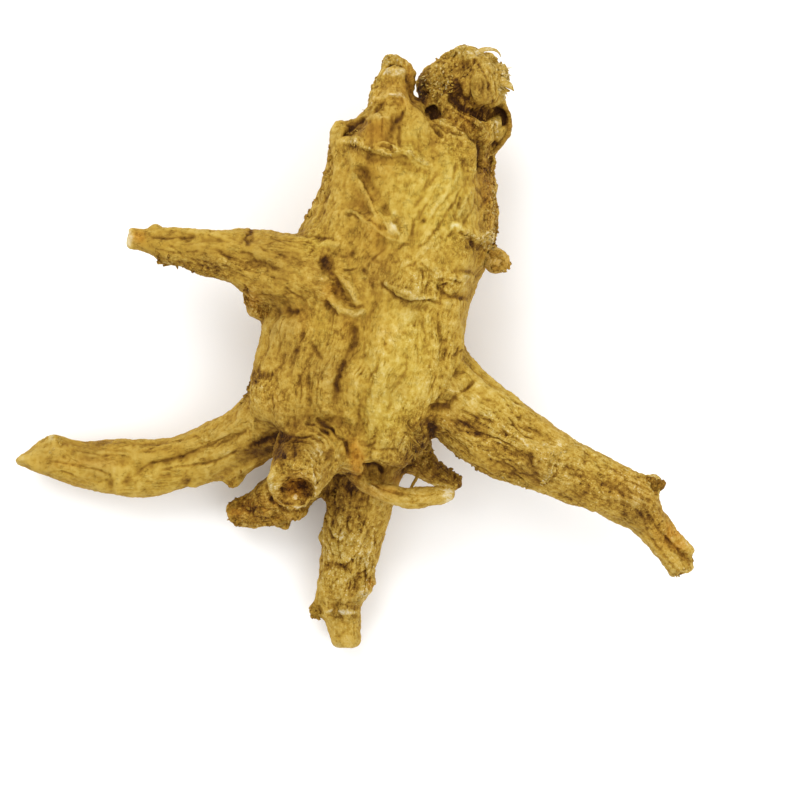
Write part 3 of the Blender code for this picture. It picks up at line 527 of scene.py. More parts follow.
    ([(330, 301), (338, 308), (346, 312), (354, 314), (361, 313), (367, 309)], 0.42, 0.5, 0.65),
    ([(350, 304), (356, 308), (362, 306)], 0.35, -0.2, -0.4),
    ([(322, 300), (330, 308), (337, 315), (347, 318)], 0.36, -0.4, -0.65),
    ([(296, 235), (312, 236), (322, 238), (340, 241)], 0.22, -0.2, -0.5),
    ([(296, 239), (304, 238), (312, 240)], 0.26, 0.25, 0.45),
    ([(312, 246), (324, 243), (340, 245)], 0.6, 0.3, 0.35),
    ([(338, 255), (346, 257), (352, 252), (356, 247)], 0.24, -0.2, -0.5),
    ([(341, 268), (350, 270), (358, 268)], 0.24, -0.2, -0.4),
    ([(363, 268), (366, 272)], 0.38, -0.25, -0.75),
    ([(351, 318), (355, 330), (353, 345), (347, 357), (341, 369), (336, 382), (337, 392), (334, 404)],
     0.55, -0.35, -0.4),
    ([(345, 360), (340, 371), (336, 384), (337, 392)], 0.8, -0.15, -0.15),
    ([(341, 408), (342, 418), (340, 430)], 0.6, -0.2, -0.4),
    ([(301, 318), (303, 333), (299, 346), (293, 357), (289, 369)], 0.5, -0.3, -0.45),
    ([(311, 341), (316, 352), (323, 361)], 0.42, -0.2, -0.42),
    ([(285, 330), (281, 345), (276, 358)], 0.24, -0.12, -0.3),
    ([(294, 360), (291, 370), (286, 378)], 0.35, -0.15, -0.45),
    ([(253, 370), (257, 374), (256, 379)], 0.95, -0.5, -1.1),
    ([(243, 388), (249, 384), (255, 379)], 0.55, -0.3, -0.8),
    ([(259, 379), (268, 377), (275, 372)], 0.4, -0.2, -0.5),
    ([(365, 342), (363, 360), (360, 378), (358, 399)], 0.28, -0.12, -0.32),
    ([(378, 356), (374, 376), (368, 398)], 0.26, -0.12, -0.32),
    ([(386, 334), (385, 350), (384, 366)], 0.24, -0.12, -0.38),
    ([(361, 398), (358, 418), (356, 436)], 0.3, -0.12, -0.3),
    ([(402, 404), (406, 414), (403, 424)], 0.28, -0.12, -0.32),
    ([(375, 302), (372, 318), (366, 330)], 0.28, -0.15, -0.4),
    ([(420, 318), (418, 334), (419, 352)], 0.24, -0.12, -0.3),
    ([(438, 358), (449, 371), (461, 381)], 0.2, -0.12, -0.4),
    ([(436, 384), (450, 395), (462, 403), (472, 411)], 0.2, -0.12, -0.4),
    ([(452, 358), (458, 352), (466, 350)], 0.24, -0.2, -0.55),
    ([(476, 378), (471, 385), (464, 391), (456, 396), (448, 402)], 0.28, -0.4, -0.85),
    # the crotch, the hooked toe and the rootlet
    ([(431, 423), (432, 430), (433, 438)], 0.6, -0.6, -1.5),
    ([(447, 402), (438, 404), (430, 409), (426, 414)], 0.4, -0.2, -0.35),
    ([(420, 412), (421, 424), (424, 436)], 0.3, -0.25, -0.55),
    ([(411, 426), (415, 442), (424, 456)], 0.24, 0.2, 0.35),
    ([(404, 440), (410, 452), (420, 462)], 0.24, 0.2, 0.3),
    ([(408, 418), (410, 434), (413, 450)], 0.22, -0.2, -0.55),
    ([(420, 440), (428, 454), (440, 468)], 0.22, -0.2, -0.6),
    ([(436, 456), (446, 466), (456, 476)], 0.28, -0.25, -0.6),
    ([(364, 465), (372, 465), (379, 467), (385, 473)], 0.34, -0.5, -1.0),
    ([(361, 445), (367, 446), (374, 443)], 0.26, -0.25, -0.6),
    ([(372, 447), (380, 451), (390, 449), (399, 452)], 0.24, -0.2, -0.45),
    ([(362, 459), (376, 459), (390, 461), (402, 462)], 0.32, 0.2, 0.25),
    ([(366, 478), (378, 487), (392, 492), (410, 496)], 0.22, -0.25, -0.7),
    ([(384, 499), (404, 502), (424, 501)], 0.2, -0.2, -0.5),
    ([(360, 454), (361, 463), (360, 473)], 0.24, 0.3, 0.7),
    ([(362, 465), (370, 465), (378, 467), (385, 472)], 0.26, -0.4, -1.0),
    ([(333, 474), (342, 476), (350, 474), (360, 477)], 0.3, -0.4, -0.9),
    ([(362, 475), (369, 483), (382, 494), (396, 501), (414, 504)], 0.28, 0.25, 0.7),
    ([(386, 488), (402, 493), (420, 496), (436, 494)], 0.2, -0.25, -0.6),
    ([(453, 487), (450, 494), (447, 501)], 0.5, 0.15, 1.1),
    # the next mark is the painted shadow under the right lobe
    ([(425, 405), (436, 405), (448, 407)], 0.4, -0.1, -0.35),
    ([(430, 403), (440, 402), (450, 403)], 0.22, 0.3, 0.5),
    ([(452, 480), (458, 482), (460, 487)], 0.6, -0.3, -1.3),
    # the stub and the knotted toe
    ([(318, 420), (325, 425), (331, 428), (335, 434), (339, 438), (344, 441), (347, 448), (348, 457)],
     0.3, -0.8, -1.1),
    ([(306, 424), (316, 425), (324, 430), (329, 436)], 0.26, -0.45, -1.1),
    ([(322, 424), (329, 426), (334, 426)], 0.22, 0.25, 0.5),
    ([(250, 446), (262, 441), (272, 437), (281, 434), (290, 436)], 0.5, -0.5, -0.8),
    ([(288, 436), (300, 437), (315, 436)], 0.26, -0.3, -0.75),
    ([(285, 429), (291, 433), (300, 434)], 0.22, 0.25, 0.5),
    ([(310, 432), (318, 436), (325, 442), (328, 450)], 0.34, 0.4, 0.55),
    ([(306, 441), (314, 443), (320, 449), (322, 458)], 0.34, 0.35, 0.45),
    ([(305, 452), (310, 456), (312, 464)], 0.3, 0.3, 0.4),
    ([(326, 462), (329, 455), (331, 448)], 0.5, -0.3, -0.8),
    ([(285, 442), (286, 452), (290, 461)], 0.24, 0.3, 0.35),
    ([(293, 444), (295, 451), (293, 460)], 0.22, -0.25, -0.45),
    ([(300, 442), (302, 452), (301, 463)], 0.24, 0.25, 0.3),
    ([(281, 438), (280, 448), (279, 458)], 0.4, -0.35, -0.6),
    ([(271, 488), (270, 480), (273, 472), (278, 466), (285, 462), (291, 463)], 0.3, 0.7, 0.8),
    ([(280, 477), (284, 472), (291, 471), (298, 471), (305, 469)], 0.22, -0.3, -0.5),
    ([(290, 466), (299, 466), (307, 468), (313, 474), (316, 483)], 0.3, 0.4, 0.5),
    ([(274, 490), (279, 486), (285, 482), (293, 479), (301, 477)], 0.34, 0.4, 0.45),
    ([(309, 468), (315, 479), (316, 492), (311, 501)], 0.2, 0.35, 0.75),
    ([(313, 468), (318, 481), (317, 494)], 0.26, -0.5, -0.9),
    ([(281, 501), (286, 506), (293, 508), (301, 506), (308, 502)], 0.26, 0.6, 1.0),
    ([(283, 488), (283, 494)], 0.9, -0.6, -1.3),
    ([(301, 483), (308, 489), (307, 497)], 0.9, -0.5, -0.9),
    # the next mark is a groove round the ring's lower edge, darkened as its painted shadow
    ([(267, 476), (267, 490), (271, 500), (280, 508), (292, 512), (304, 510), (313, 504)],
     0.36, -0.6, -1.4),
    # the next mark is a painted glint in the stub's opening
    ([(294.5, 497), (297.5, 497)], 0.3, 0.2, 7.0),
    ([(285, 463), (289, 463), (292, 466)], 0.45, 0.45, 0.4),
    ([(309, 430), (318, 433), (326, 438), (329, 447)], 0.2, -0.2, -0.6),
    ([(300, 436), (312, 438), (320, 441), (325, 447)], 0.2, -0.25, -0.8),
    ([(288, 444), (289, 452), (287, 461)], 0.35, 0.2, 0.5),
    ([(283, 446), (282, 453), (284, 460)], 0.35, -0.3, -0.8),
    ([(283, 511), (286, 515), (289, 516)], 0.24, 0.3, 0.8),
    ([(246, 505), (249, 512), (253, 519)], 0.34, -0.25, -0.7),
    # the lower leg
    ([(345, 485), (350, 488), (352, 492)], 0.75, -0.6, -1.2),
    ([(334, 486), (334, 500), (333, 516)], 0.4, -0.25, -0.8),
    ([(357, 504), (359, 518), (360, 534)], 0.45, -0.25, -0.65),
    ([(346, 498), (347, 514), (346, 530)], 0.3, 0.2, 0.25),
    ([(330, 563), (338, 565), (345, 567), (349, 573)], 0.3, -0.5, -0.9),
    ([(345, 566), (350, 562), (355, 561)], 0.24, -0.3, -0.7),
    ([(328, 611), (334, 609), (341, 612), (349, 610), (358, 613)], 0.28, 0.42, 0.8),
    ([(329, 616), (338, 617), (348, 616), (358, 617)], 0.28, -0.3, -0.5),
    ([(356, 601), (361, 596), (366, 592), (372, 590)], 0.3, 0.45, 0.8),
    ([(355, 605), (362, 600), (369, 597)], 0.26, 0.3, 0.6),
    ([(361, 548), (364, 558), (367, 568), (368, 580)], 0.26, 0.3, 0.5),
    ([(368, 545), (368, 560), (372, 575)], 0.22, 0.2, 0.4),
    # the arm
    ([(147, 236), (165, 238), (180, 238), (194, 238)], 0.2, -0.2, -0.55),
    ([(160, 232), (178, 232), (193, 236)], 0.22, -0.15, -0.35),
    ([(205, 234), (215, 238), (230, 243)], 0.22, -0.12, -0.35),
    ([(252, 225), (250, 232), (246, 238), (249, 244)], 0.26, -0.3, -0.55),
    ([(246, 240), (243, 246), (246, 251)], 0.24, 0.25, 0.6),
    ([(213, 248), (220, 251), (226, 257), (236, 254)], 0.22, -0.15, -0.45),
    ([(185, 251), (193, 252), (198, 250)], 0.2, -0.15, -0.5),
    ([(260, 246), (268, 251), (280, 254), (290, 259)], 0.2, -0.2, -0.55),
    ([(254, 260), (265, 264), (275, 268), (284, 270), (297, 274)], 0.2, -0.2, -0.55),
    ([(262, 273), (270, 276), (275, 280)], 0.22, -0.2, -0.5),
    ([(284, 286), (293, 293), (302, 299)], 0.2, -0.2, -0.5),
    ([(168, 243), (176, 250), (186, 258), (200, 262)], 0.2, -0.15, -0.4),
    ([(240, 253), (248, 253), (253, 255)], 0.26, -0.2, -0.6),
    ([(196, 246), (210, 249), (224, 252), (238, 251)], 0.18, -0.12, -0.4),
    ([(270, 237), (282, 242), (294, 246), (304, 249)], 0.18, -0.15, -0.45),
    ([(240, 268), (256, 272), (272, 277), (288, 281)], 0.18, -0.15, -0.45),
    ([(150, 246), (162, 250), (175, 253), (190, 254)], 0.18, -0.12, -0.4),
    ([(172, 264), (186, 263), (200, 266), (216, 270), (231, 274)], 0.3, -0.15, -0.35),
    ([(150, 231), (175, 230), (200, 233), (226, 238)], 0.5, 0.25, 0.3),
    ([(246, 288), (246, 294), (247, 300)], 0.38, -0.3, -0.85),
    # the next mark is the painted shade under the arm's root
    ([(286, 308), (292, 312), (300, 310)], 0.6, -0.4, -0.5),
    # the left foot
    ([(56, 441), (74, 449), (99, 455), (122, 455), (134, 460)], 0.24, -0.2, -0.5),
    ([(50, 461), (74, 465), (98, 470), (110, 475)], 0.24, -0.2, -0.4),
    ([(132, 478), (147, 465), (163, 461), (179, 457), (198, 449), (222, 439), (243, 432)],
     0.22, -0.2, -0.45),
    ([(163, 470), (185, 466), (209, 463), (224, 458), (240, 449)], 0.26, -0.25, -0.45),
    ([(120, 446), (150, 444), (180, 440), (205, 433)], 0.28, -0.25, -0.45),
    ([(44, 443), (51, 436), (60, 441)], 0.4, 0.35, 0.6),
    # the right foot
    ([(478, 400), (495, 411), (512, 424), (530, 432)], 0.22, -0.15, -0.4),
    ([(446, 418), (455, 422), (468, 430), (486, 437)], 0.3, -0.2, -0.55),
    ([(572, 474), (590, 478), (612, 488), (630, 498)], 0.26, -0.2, -0.45),
    ([(575, 446), (600, 462), (622, 474)], 0.22, -0.2, -0.45),
    ([(648, 515), (660, 530), (674, 546), (690, 561)], 0.24, -0.35, -0.8),
    ([(644, 528), (656, 545), (668, 560), (676, 570)], 0.22, -0.25, -0.6),
    ([(654, 521), (667, 536), (682, 551)], 0.24, 0.25, 0.4),
    ([(543, 482), (549, 476), (553, 468), (557, 461), (561, 466)], 0.26, 0.35, 0.65),
    ([(545, 470), (552, 457), (561, 452)], 0.26, 0.3, 0.5),
    ([(548, 484), (555, 476), (559, 470)], 0.26, -0.25, -0.5),
]

# Patches of tone: pixel x and y, radii in pixels across and down, and strength. The dark patches are partly
# the skin's own dark brown and partly painted shade in pits, hollows, the crotch and under overhangs; the
# pale ones are partly paler skin and partly painted highlights, with a painted glint at 296, 497.
DARK_PATCHES = [
    (462, 84, 44, 34, 0.22), (434, 84, 18, 22, 0.25), (270, 505, 44, 16, 0.3), (262, 450, 20, 12, 0.35),
    (284, 450, 14, 12, 0.45), (296, 446, 10, 10, 0.3), (424, 446, 26, 24, 0.35), (446, 470, 22, 16, 0.3),
    (380, 474, 22, 8, 0.4), (300, 380, 40, 44, 0.1), (285, 275, 34, 34, 0.12), (385, 240, 30, 60, 0.06),
    (344, 500, 16, 30, 0.3), (298, 428, 26, 8, 0.35), (480, 150, 14, 20, 0.45), (460, 120, 26, 10, 0.25),
    (368, 165, 8, 14, 0.8), (395, 122, 6, 9, 0.8), (352, 127, 10, 6, 0.7), (382, 103, 7, 4, 0.6),
    # the patch at 297, 311 on the next row is the painted shade under the arm's root
    (326, 264, 6, 10, 0.9), (334, 282, 6, 12, 0.5), (297, 311, 12, 5, 0.4), (345, 345, 8, 26, 0.3),
    (341, 378, 8, 22, 0.3), (300, 345, 9, 16, 0.35), (256, 375, 11, 10, 1.0), (246, 388, 10, 8, 0.6),
    (272, 448, 14, 16, 0.85), (250, 451, 22, 9, 0.75), (292, 444, 20, 10, 0.6), (331, 428, 9, 8, 0.25),
    (340, 425, 9, 12, 0.4), (346, 486, 10, 7, 1.0), (432, 430, 9, 11, 1.0), (420, 440, 13, 24, 0.7),
    (405, 462, 24, 9, 0.55), (443, 470, 20, 14, 0.75), (458, 486, 8, 8, 0.9), (442, 408, 12, 6, 0.35),
    (466, 424, 14, 6, 0.6), (516, 457, 14, 7, 0.6), (500, 472, 26, 8, 0.7), (535, 480, 16, 8, 0.5),
    (582, 495, 14, 12, 0.65), (624, 512, 8, 6, 0.6), (648, 524, 12, 12, 0.6), (615, 490, 14, 6, 0.4),
    (470, 252, 22, 9, 0.5), (488, 205, 9, 44, 0.45), (487, 168, 8, 9, 0.6), (424, 221, 4, 4, 0.8),
    (364, 271, 4, 4, 0.6), (352, 253, 5, 4, 0.4), (128, 480, 4, 4, 0.9), (187, 481, 5, 5, 1.0),
    (205, 460, 6, 3, 0.8), (231, 483, 6, 5, 0.8), (104, 443, 30, 4, 0.5), (170, 452, 24, 5, 0.35),
    (358, 520, 8, 12, 0.75), (331, 500, 7, 24, 0.6), (344, 568, 6, 6, 0.9), (348, 594, 8, 12, 0.35),
    (251, 229, 4, 6, 0.5), (200, 266, 36, 7, 0.45), (162, 262, 6, 5, 0.6), (200, 252, 20, 5, 0.15),
    # the patch at 474, 111 on the next row is the painted shadow under the bud
    (434, 114, 7, 6, 1.0), (456, 88, 7, 12, 1.0), (474, 111, 22, 6, 1.1), (424, 84, 8, 22, 0.55),
    (505, 119, 4, 11, 1.0), (505, 145, 8, 8, 0.5), (421, 100, 10, 8, 0.7), (440, 88, 12, 8, 0.35),
    (400, 306, 18, 4, 0.35), (460, 297, 12, 4, 0.5), (270, 516, 36, 10, 0.45), (240, 510, 14, 10, 0.6),
    (290, 478, 10, 6, 0.2), (244, 242, 8, 16, 0.3), (284, 300, 20, 6, 0.3), (412, 421, 12, 8, 0.5),
    # the last patch on the next row, at 436, 407, is the painted shadow under the right lobe
    (398, 464, 20, 8, 0.3), (457, 483, 8, 8, 1.2), (440, 462, 14, 10, 0.6), (436, 407, 14, 4, 0.3),
    (290, 450, 16, 14, 0.5), (299, 489, 11, 9, 0.4), (505, 117, 4, 9, 1.0), (511, 122, 3, 18, 0.8),
    (470, 86, 28, 24, 0.18), (474, 107, 16, 4, 0.5), (438, 58, 10, 5, 0.6), (419, 86, 5, 12, 0.9),
    (462, 430, 18, 10, 0.45), (500, 447, 20, 8, 0.4), (530, 470, 24, 10, 0.35), (352, 502, 10, 12, 0.4),
    (350, 487, 8, 6, 0.8), (605, 482, 26, 8, 0.35), (640, 515, 14, 10, 0.5), (408, 80, 4, 16, 0.5),
    (395, 66, 6, 3, 0.7), (350, 445, 6, 14, 0.4), (496, 144, 4, 4, 0.9), (384, 470, 4, 3, 0.9),
    (205, 276, 30, 4, 0.3), (479, 80, 18, 22, 0.25), (455, 90, 4, 14, 1.0), (258, 480, 7, 14, 0.9),
    (251, 502, 12, 14, 0.4), (290, 272, 36, 30, 0.25), (150, 240, 20, 12, 0.3), (44, 462, 24, 18, 0.2),
    (356, 504, 26, 16, 0.25), (376, 128, 14, 12, 0.4), (418, 84, 4, 14, 1.0), (428, 74, 8, 5, 0.4),
    (452, 477, 14, 9, 0.5), (375, 130, 14, 12, 0.3), (408, 144, 30, 4, 0.2), (478, 100, 16, 5, 0.5),
    (440, 92, 12, 8, 0.3), (500, 140, 8, 10, 0.3), (331, 453, 5, 9, 0.5), (262, 470, 6, 10, 0.5),
    (330, 432, 4, 4, 0.3), (264, 452, 18, 8, 0.3), (205, 247, 62, 14, 0.3), (352, 136, 16, 18, 0.22),
    (296, 468, 26, 24, 0.15),
]

PALE_PATCHES = [
    (396, 72, 10, 5, 0.9), (396, 96, 8, 3, 0.8), (378, 117, 12, 3, 0.5), (394, 213, 3, 3, 0.9),
    (391, 226, 7, 9, 0.7), (441, 122, 9, 4, 0.5), (436, 72, 16, 10, 0.7), (466, 52, 14, 5, 0.9),
    (496, 70, 14, 20, 0.8), (384, 61, 8, 4, 0.5), (352, 141, 8, 3, 0.7), (130, 238, 4, 12, 1.6),
    (52, 437, 8, 5, 0.7), (24, 458, 8, 10, 0.5), (230, 452, 8, 5, 0.8), (206, 458, 3, 2, 0.4),
    (420, 497, 40, 10, 0.1), (450, 494, 5, 9, 1.2), (343, 612, 16, 3, 0.9), (366, 594, 9, 6, 0.8),
    (364, 560, 5, 16, 0.55), (336, 648, 16, 4, 0.6), (550, 470, 10, 14, 0.5), (521, 482, 8, 5, 0.7),
    (534, 492, 8, 5, 0.7), (518, 463, 3, 3, 1.2), (652, 480, 7, 5, 0.4), (480, 238, 16, 6, 0.5),
    (456, 225, 4, 3, 0.8), (497, 248, 6, 5, 0.5), (346, 308, 9, 5, 0.5), (295, 471, 24, 6, 0.15),
    # the last patch on the next row, at 296, 497, is a painted glint in the stub's opening
    (315, 486, 2, 14, 0.7), (296, 507, 18, 2, 0.5), (270, 488, 4, 14, 0.2), (296, 497, 2.4, 2.2, 3.5),
    (325, 476, 6, 12, 0.3), (337, 138, 7, 12, 0.4), (494, 128, 5, 9, 0.7), (430, 300, 10, 4, 0.5),
    (444, 274, 8, 5, 0.4), (560, 445, 60, 5, 0.3), (600, 462, 30, 5, 0.3), (283, 513, 6, 3, 0.5),
    (430, 200, 40, 50, 0.3), (410, 350, 40, 70, 0.35), (500, 402, 36, 22, 0.3), (470, 240, 24, 30, 0.2),
    (312, 455, 8, 12, 0.5), (341, 540, 5, 26, 0.4), (372, 540, 5, 26, 0.3), (540, 440, 40, 8, 0.3),
    (447, 495, 5, 8, 0.8), (412, 142, 16, 16, 0.25), (496, 129, 3, 9, 1.3), (458, 122, 18, 10, 0.4),
    (498, 262, 8, 8, 1.1), (493, 210, 5, 40, 0.5), (478, 388, 22, 14, 0.4), (380, 390, 40, 60, 0.2),
    (345, 580, 22, 26, 0.25), (272, 482, 3, 12, 0.6), (297, 508, 16, 2, 0.8), (390, 504, 20, 2, 0.5),
    (470, 78, 10, 6, 0.4), (396, 84, 8, 10, 0.2), (420, 452, 14, 20, 0.25), (315, 450, 10, 14, 0.35),
    (341, 447, 6, 10, 0.3), (470, 300, 12, 40, 0.25), (394, 73, 10, 3, 0.8), (395, 96, 9, 2.5, 0.5),
    (354, 141, 9, 2.5, 0.5), (420, 160, 12, 2.5, 0.4),
]

# Patches of each tint, in the same way
TINT_PATCHES = {
    "warm": [
        (376, 130, 13, 14, 0.7), (138, 237, 8, 9, 0.9), (250, 302, 12, 14, 0.8), (358, 464, 6, 14, 0.9),
        (352, 448, 8, 12, 0.5), (300, 484, 14, 12, 0.7), (676, 536, 20, 22, 0.7), (372, 583, 5, 5, 0.9),
        (500, 262, 12, 12, 0.5), (490, 200, 8, 30, 0.3), (404, 98, 8, 12, 0.4), (330, 290, 14, 14, 0.4),
        (84, 463, 40, 6, 0.4), (380, 230, 14, 10, 0.35), (365, 200, 12, 14, 0.35), (466, 120, 16, 12, 0.45),
        (488, 172, 7, 12, 0.5), (400, 480, 20, 6, 0.5), (350, 325, 10, 10, 0.4), (295, 520, 20, 10, 0.4),
        (357, 462, 6, 12, 0.9), (354, 446, 6, 8, 0.5), (382, 491, 18, 6, 0.5), (296, 488, 12, 8, 0.8),
        (410, 78, 5, 16, 0.7), (262, 510, 30, 14, 0.5), (236, 510, 12, 12, 0.4),
    ],
    "yellow": [
        (410, 200, 34, 44, 0.6), (452, 215, 20, 46, 0.7), (400, 350, 44, 66, 0.75), (380, 420, 30, 30, 0.5),
        (412, 142, 14, 22, 0.5), (454, 165, 16, 30, 0.5), (316, 230, 18, 22, 0.3), (320, 330, 14, 24, 0.5),
        (500, 405, 34, 26, 0.45), (470, 370, 22, 22, 0.4), (180, 488, 50, 10, 0.35),
        (340, 560, 14, 30, 0.3), (600, 455, 30, 20, 0.3), (310, 245, 24, 8, 0.4), (200, 240, 40, 8, 0.25),
        (430, 200, 46, 60, 0.35), (420, 340, 40, 70, 0.25), (120, 470, 90, 16, 0.3),
        (395, 420, 40, 30, 0.3),
    ],
    "dust": [
        (270, 258, 26, 26, 0.5), (290, 350, 26, 30, 0.4), (300, 420, 40, 16, 0.4), (230, 440, 30, 16, 0.4),
        (340, 530, 20, 50, 0.45), (550, 480, 50, 24, 0.45), (630, 500, 24, 24, 0.5),
        (490, 420, 30, 20, 0.3), (350, 600, 18, 16, 0.4), (425, 450, 20, 24, 0.6), (430, 80, 20, 26, 0.4),
        (480, 66, 26, 20, 0.3), (200, 264, 44, 10, 0.4), (100, 455, 50, 10, 0.25), (260, 505, 30, 20, 0.4),
        (295, 450, 24, 14, 0.4),
    ],
}

# Crumbs: pixel path, how many, spread in pixels, least and most size in mm, tone and warmth
CRUMB_ROWS = {
    "bark top": ([(478, 160), (485, 165), (493, 161)], 16, 2.5, (0.15, 0.35), 0.42, 0.3),
    "bark": (
        [(486, 166), (492, 182), (493, 200), (494, 222), (495, 246)],
        70, 2.0, (0.13, 0.32), 0.46, 0.2),
    "bark flecks": ([(489, 170), (492, 190), (494, 210), (495, 246)], 22, 2.0, (0.12, 0.25), 0.86, 0.0),
    "scar row": ([(464, 235), (476, 238), (490, 236)], 18, 1.6, (0.14, 0.3), 0.8, 0.0),
    "scar row below": ([(482, 243), (488, 246), (494, 247)], 16, 1.6, (0.14, 0.3), 0.84, 0.0),
    "nub": (
        [(486, 256), (497, 253), (505, 259), (508, 266), (502, 270), (493, 267)],
        22, 2.2, (0.25, 0.6), 0.68, 0.4),
    "left bark": (
        [(333, 150), (330, 168), (322, 188), (313, 202), (304, 220)],
        60, 2.4, (0.15, 0.35), 0.56, 0.2),
    "stem tip": ([(383, 65), (387, 61), (393, 59), (398, 62)], 26, 2.4, (0.1, 0.22), 0.7, 0.0),
    "stem side": ([(381, 68), (374, 81), (370, 93), (366, 106)], 40, 1.8, (0.1, 0.2), 0.68, 0.0),
    "shag a": ([(424, 76), (427, 86), (427, 97)], 40, 3.4, (0.09, 0.22), 0.46, 0.2),
    "shag b": ([(436, 68), (438, 82), (437, 97)], 60, 4.0, (0.09, 0.22), 0.6, 0.1),
    "shag c": ([(447, 62), (448, 72), (447, 92)], 44, 3.4, (0.09, 0.22), 0.62, 0.0),
    "bud top": ([(440, 58), (452, 53), (462, 49), (474, 47)], 44, 2.2, (0.1, 0.29), 0.74, 0.0),
    "bud right": (
        [(484, 52), (495, 60), (503, 73), (504, 88), (502, 100)],
        80, 2.8, (0.14, 0.32), 0.7, 0.0),
    "right of the plate": ([(470, 128), (480, 138), (486, 150)], 40, 3.6, (0.14, 0.3), 0.5, 0.3),
    "arm flap": ([(158, 261), (163, 264)], 12, 1.6, (0.2, 0.4), 0.46, 0.1),
    "under the arm": (
        [(150, 250), (165, 257), (180, 266), (200, 271), (226, 277)],
        70, 2.0, (0.12, 0.3), 0.48, 0.1),
    "arm knot": ([(243, 284), (247, 300), (258, 311), (268, 315)], 36, 2.4, (0.15, 0.35), 0.5, 0.6),
    "toe end": ([(228, 509), (234, 503), (243, 499)], 40, 2.6, (0.15, 0.35), 0.5, 0.2),
    "toe lower edge": (
        [(230, 520), (244, 522), (262, 525), (282, 524), (298, 518)],
        64, 2.0, (0.15, 0.35), 0.5, 0.2),
    "toe": ([(250, 500), (262, 512), (280, 518)], 30, 5.0, (0.15, 0.3), 0.52, 0.1),
    "hooked toe": ([(431, 449), (441, 461), (454, 475), (462, 482)], 44, 2.2, (0.15, 0.36), 0.44, 0.0),
    "toe root": ([(408, 424), (414, 444), (424, 462)], 40, 5.0, (0.12, 0.25), 0.5, 0.0),
    "leg left edge": ([(334, 488), (328, 508), (323, 530)], 34, 1.6, (0.12, 0.26), 0.44, 0.1),
    "leg nodule": ([(314, 606), (313, 613), (319, 620)], 26, 2.0, (0.22, 0.5), 0.56, 0.1),
    "leg middle": ([(354, 508), (358, 522), (356, 536)], 20, 2.4, (0.1, 0.2), 0.74, 0.0),
    "leg curl": ([(358, 601), (366, 593)], 12, 1.4, (0.14, 0.3), 0.8, 0.0),
    "foot edge": ([(40, 442), (50, 436), (60, 439)], 16, 1.4, (0.14, 0.3), 0.76, 0.0),
    "edge pit": ([(247, 381), (243, 391), (239, 401)], 18, 1.6, (0.14, 0.3), 0.38, 0.0),
    "gap edge": ([(434, 442), (454, 456), (478, 468)], 24, 1.2, (0.12, 0.26), 0.48, 0.0),
    "foot nodule": ([(519, 481), (523, 483)], 8, 1.6, (0.25, 0.6), 0.68, 0.0),
    "foot crumbs": ([(498, 474), (512, 484), (530, 492), (544, 494)], 50, 3.0, (0.12, 0.34), 0.66, 0.0),
    "foot swirl": ([(543, 484), (549, 474), (553, 462), (562, 452)], 36, 2.0, (0.12, 0.3), 0.74, 0.0),
    "foot end nodule": ([(649, 480), (656, 484), (658, 492)], 26, 2.2, (0.22, 0.55), 0.48, 0.3),
    "foot dark": ([(640, 500), (650, 516), (660, 530)], 24, 3.4, (0.12, 0.26), 0.46, 0.2),
    "split tip": ([(690, 560), (683, 574), (672, 568)], 16, 1.6, (0.14, 0.3), 0.6, 0.4),
}

# Papery scraps: pixel path, how many, spread in pixels, heading in degrees, least and most length and width
# in mm, and tone
SCRAPS = {
    "bud right": (
        [(490, 57), (500, 62), (505, 70), (504, 82), (504, 94)],
        90, 2.6, -20, (0.3, 0.8), 0.18, 0.84),
    "bud top": ([(446, 55), (460, 49), (474, 47), (482, 50)], 24, 1.6, 20, (0.2, 0.45), 0.14, 0.8),
    "bud left": ([(420, 76), (430, 67), (440, 59)], 14, 1.4, 200, (0.2, 0.4), 0.12, 0.55),
    "bud face": ([(430, 78), (437, 88), (446, 76), (436, 96)], 110, 4.5, 230, (0.3, 0.65), 0.1, 0.8),
    "stem": ([(382, 66), (375, 80), (369, 95), (364, 110)], 44, 1.6, 245, (0.3, 0.7), 0.12, 0.72),
    "stem top": ([(384, 61), (391, 58), (398, 61)], 18, 1.6, 90, (0.2, 0.4), 0.12, 0.76),
    "slit": ([(348, 134), (354, 130), (359, 126)], 14, 1.8, 215, (0.3, 0.8), 0.1, 0.7),
    "frill": (
        [(350, 140), (362, 144), (375, 150), (393, 151), (408, 152), (424, 161)],
        26, 1.2, -20, (0.3, 0.8), 0.12, 0.74),
    "bark": ([(490, 165), (494, 190), (496, 220), (497, 240)], 26, 2.0, -80, (0.2, 0.6), 0.12, 0.74),
    "scar": ([(478, 240), (488, 238), (494, 244)], 16, 1.8, 0, (0.2, 0.6), 0.14, 0.86),
    "toe root": ([(410, 424), (414, 444), (424, 462)], 50, 4.0, -70, (0.6, 1.6), 0.08, 0.56),
    "toe": ([(232, 512), (256, 520), (284, 522), (300, 515)], 30, 4.0, -60, (0.2, 0.5), 0.12, 0.6),
    "hooked toe": ([(436, 455), (448, 468), (458, 480)], 24, 2.4, -45, (0.2, 0.5), 0.1, 0.5),
    "foot crumbs": ([(500, 476), (520, 484), (545, 492)], 24, 3.0, 20, (0.3, 0.7), 0.12, 0.78),
    "foot swirl": ([(543, 484), (549, 474), (553, 462), (562, 452)], 24, 2.0, 70, (0.3, 0.8), 0.12, 0.8),
    "leg scales": ([(364, 548), (366, 570), (370, 592), (350, 612)], 24, 3.0, 80, (0.3, 0.8), 0.1, 0.84),
    "split tip": ([(690, 556), (682, 572), (672, 572)], 14, 1.4, -50, (0.3, 0.8), 0.14, 0.7),
}

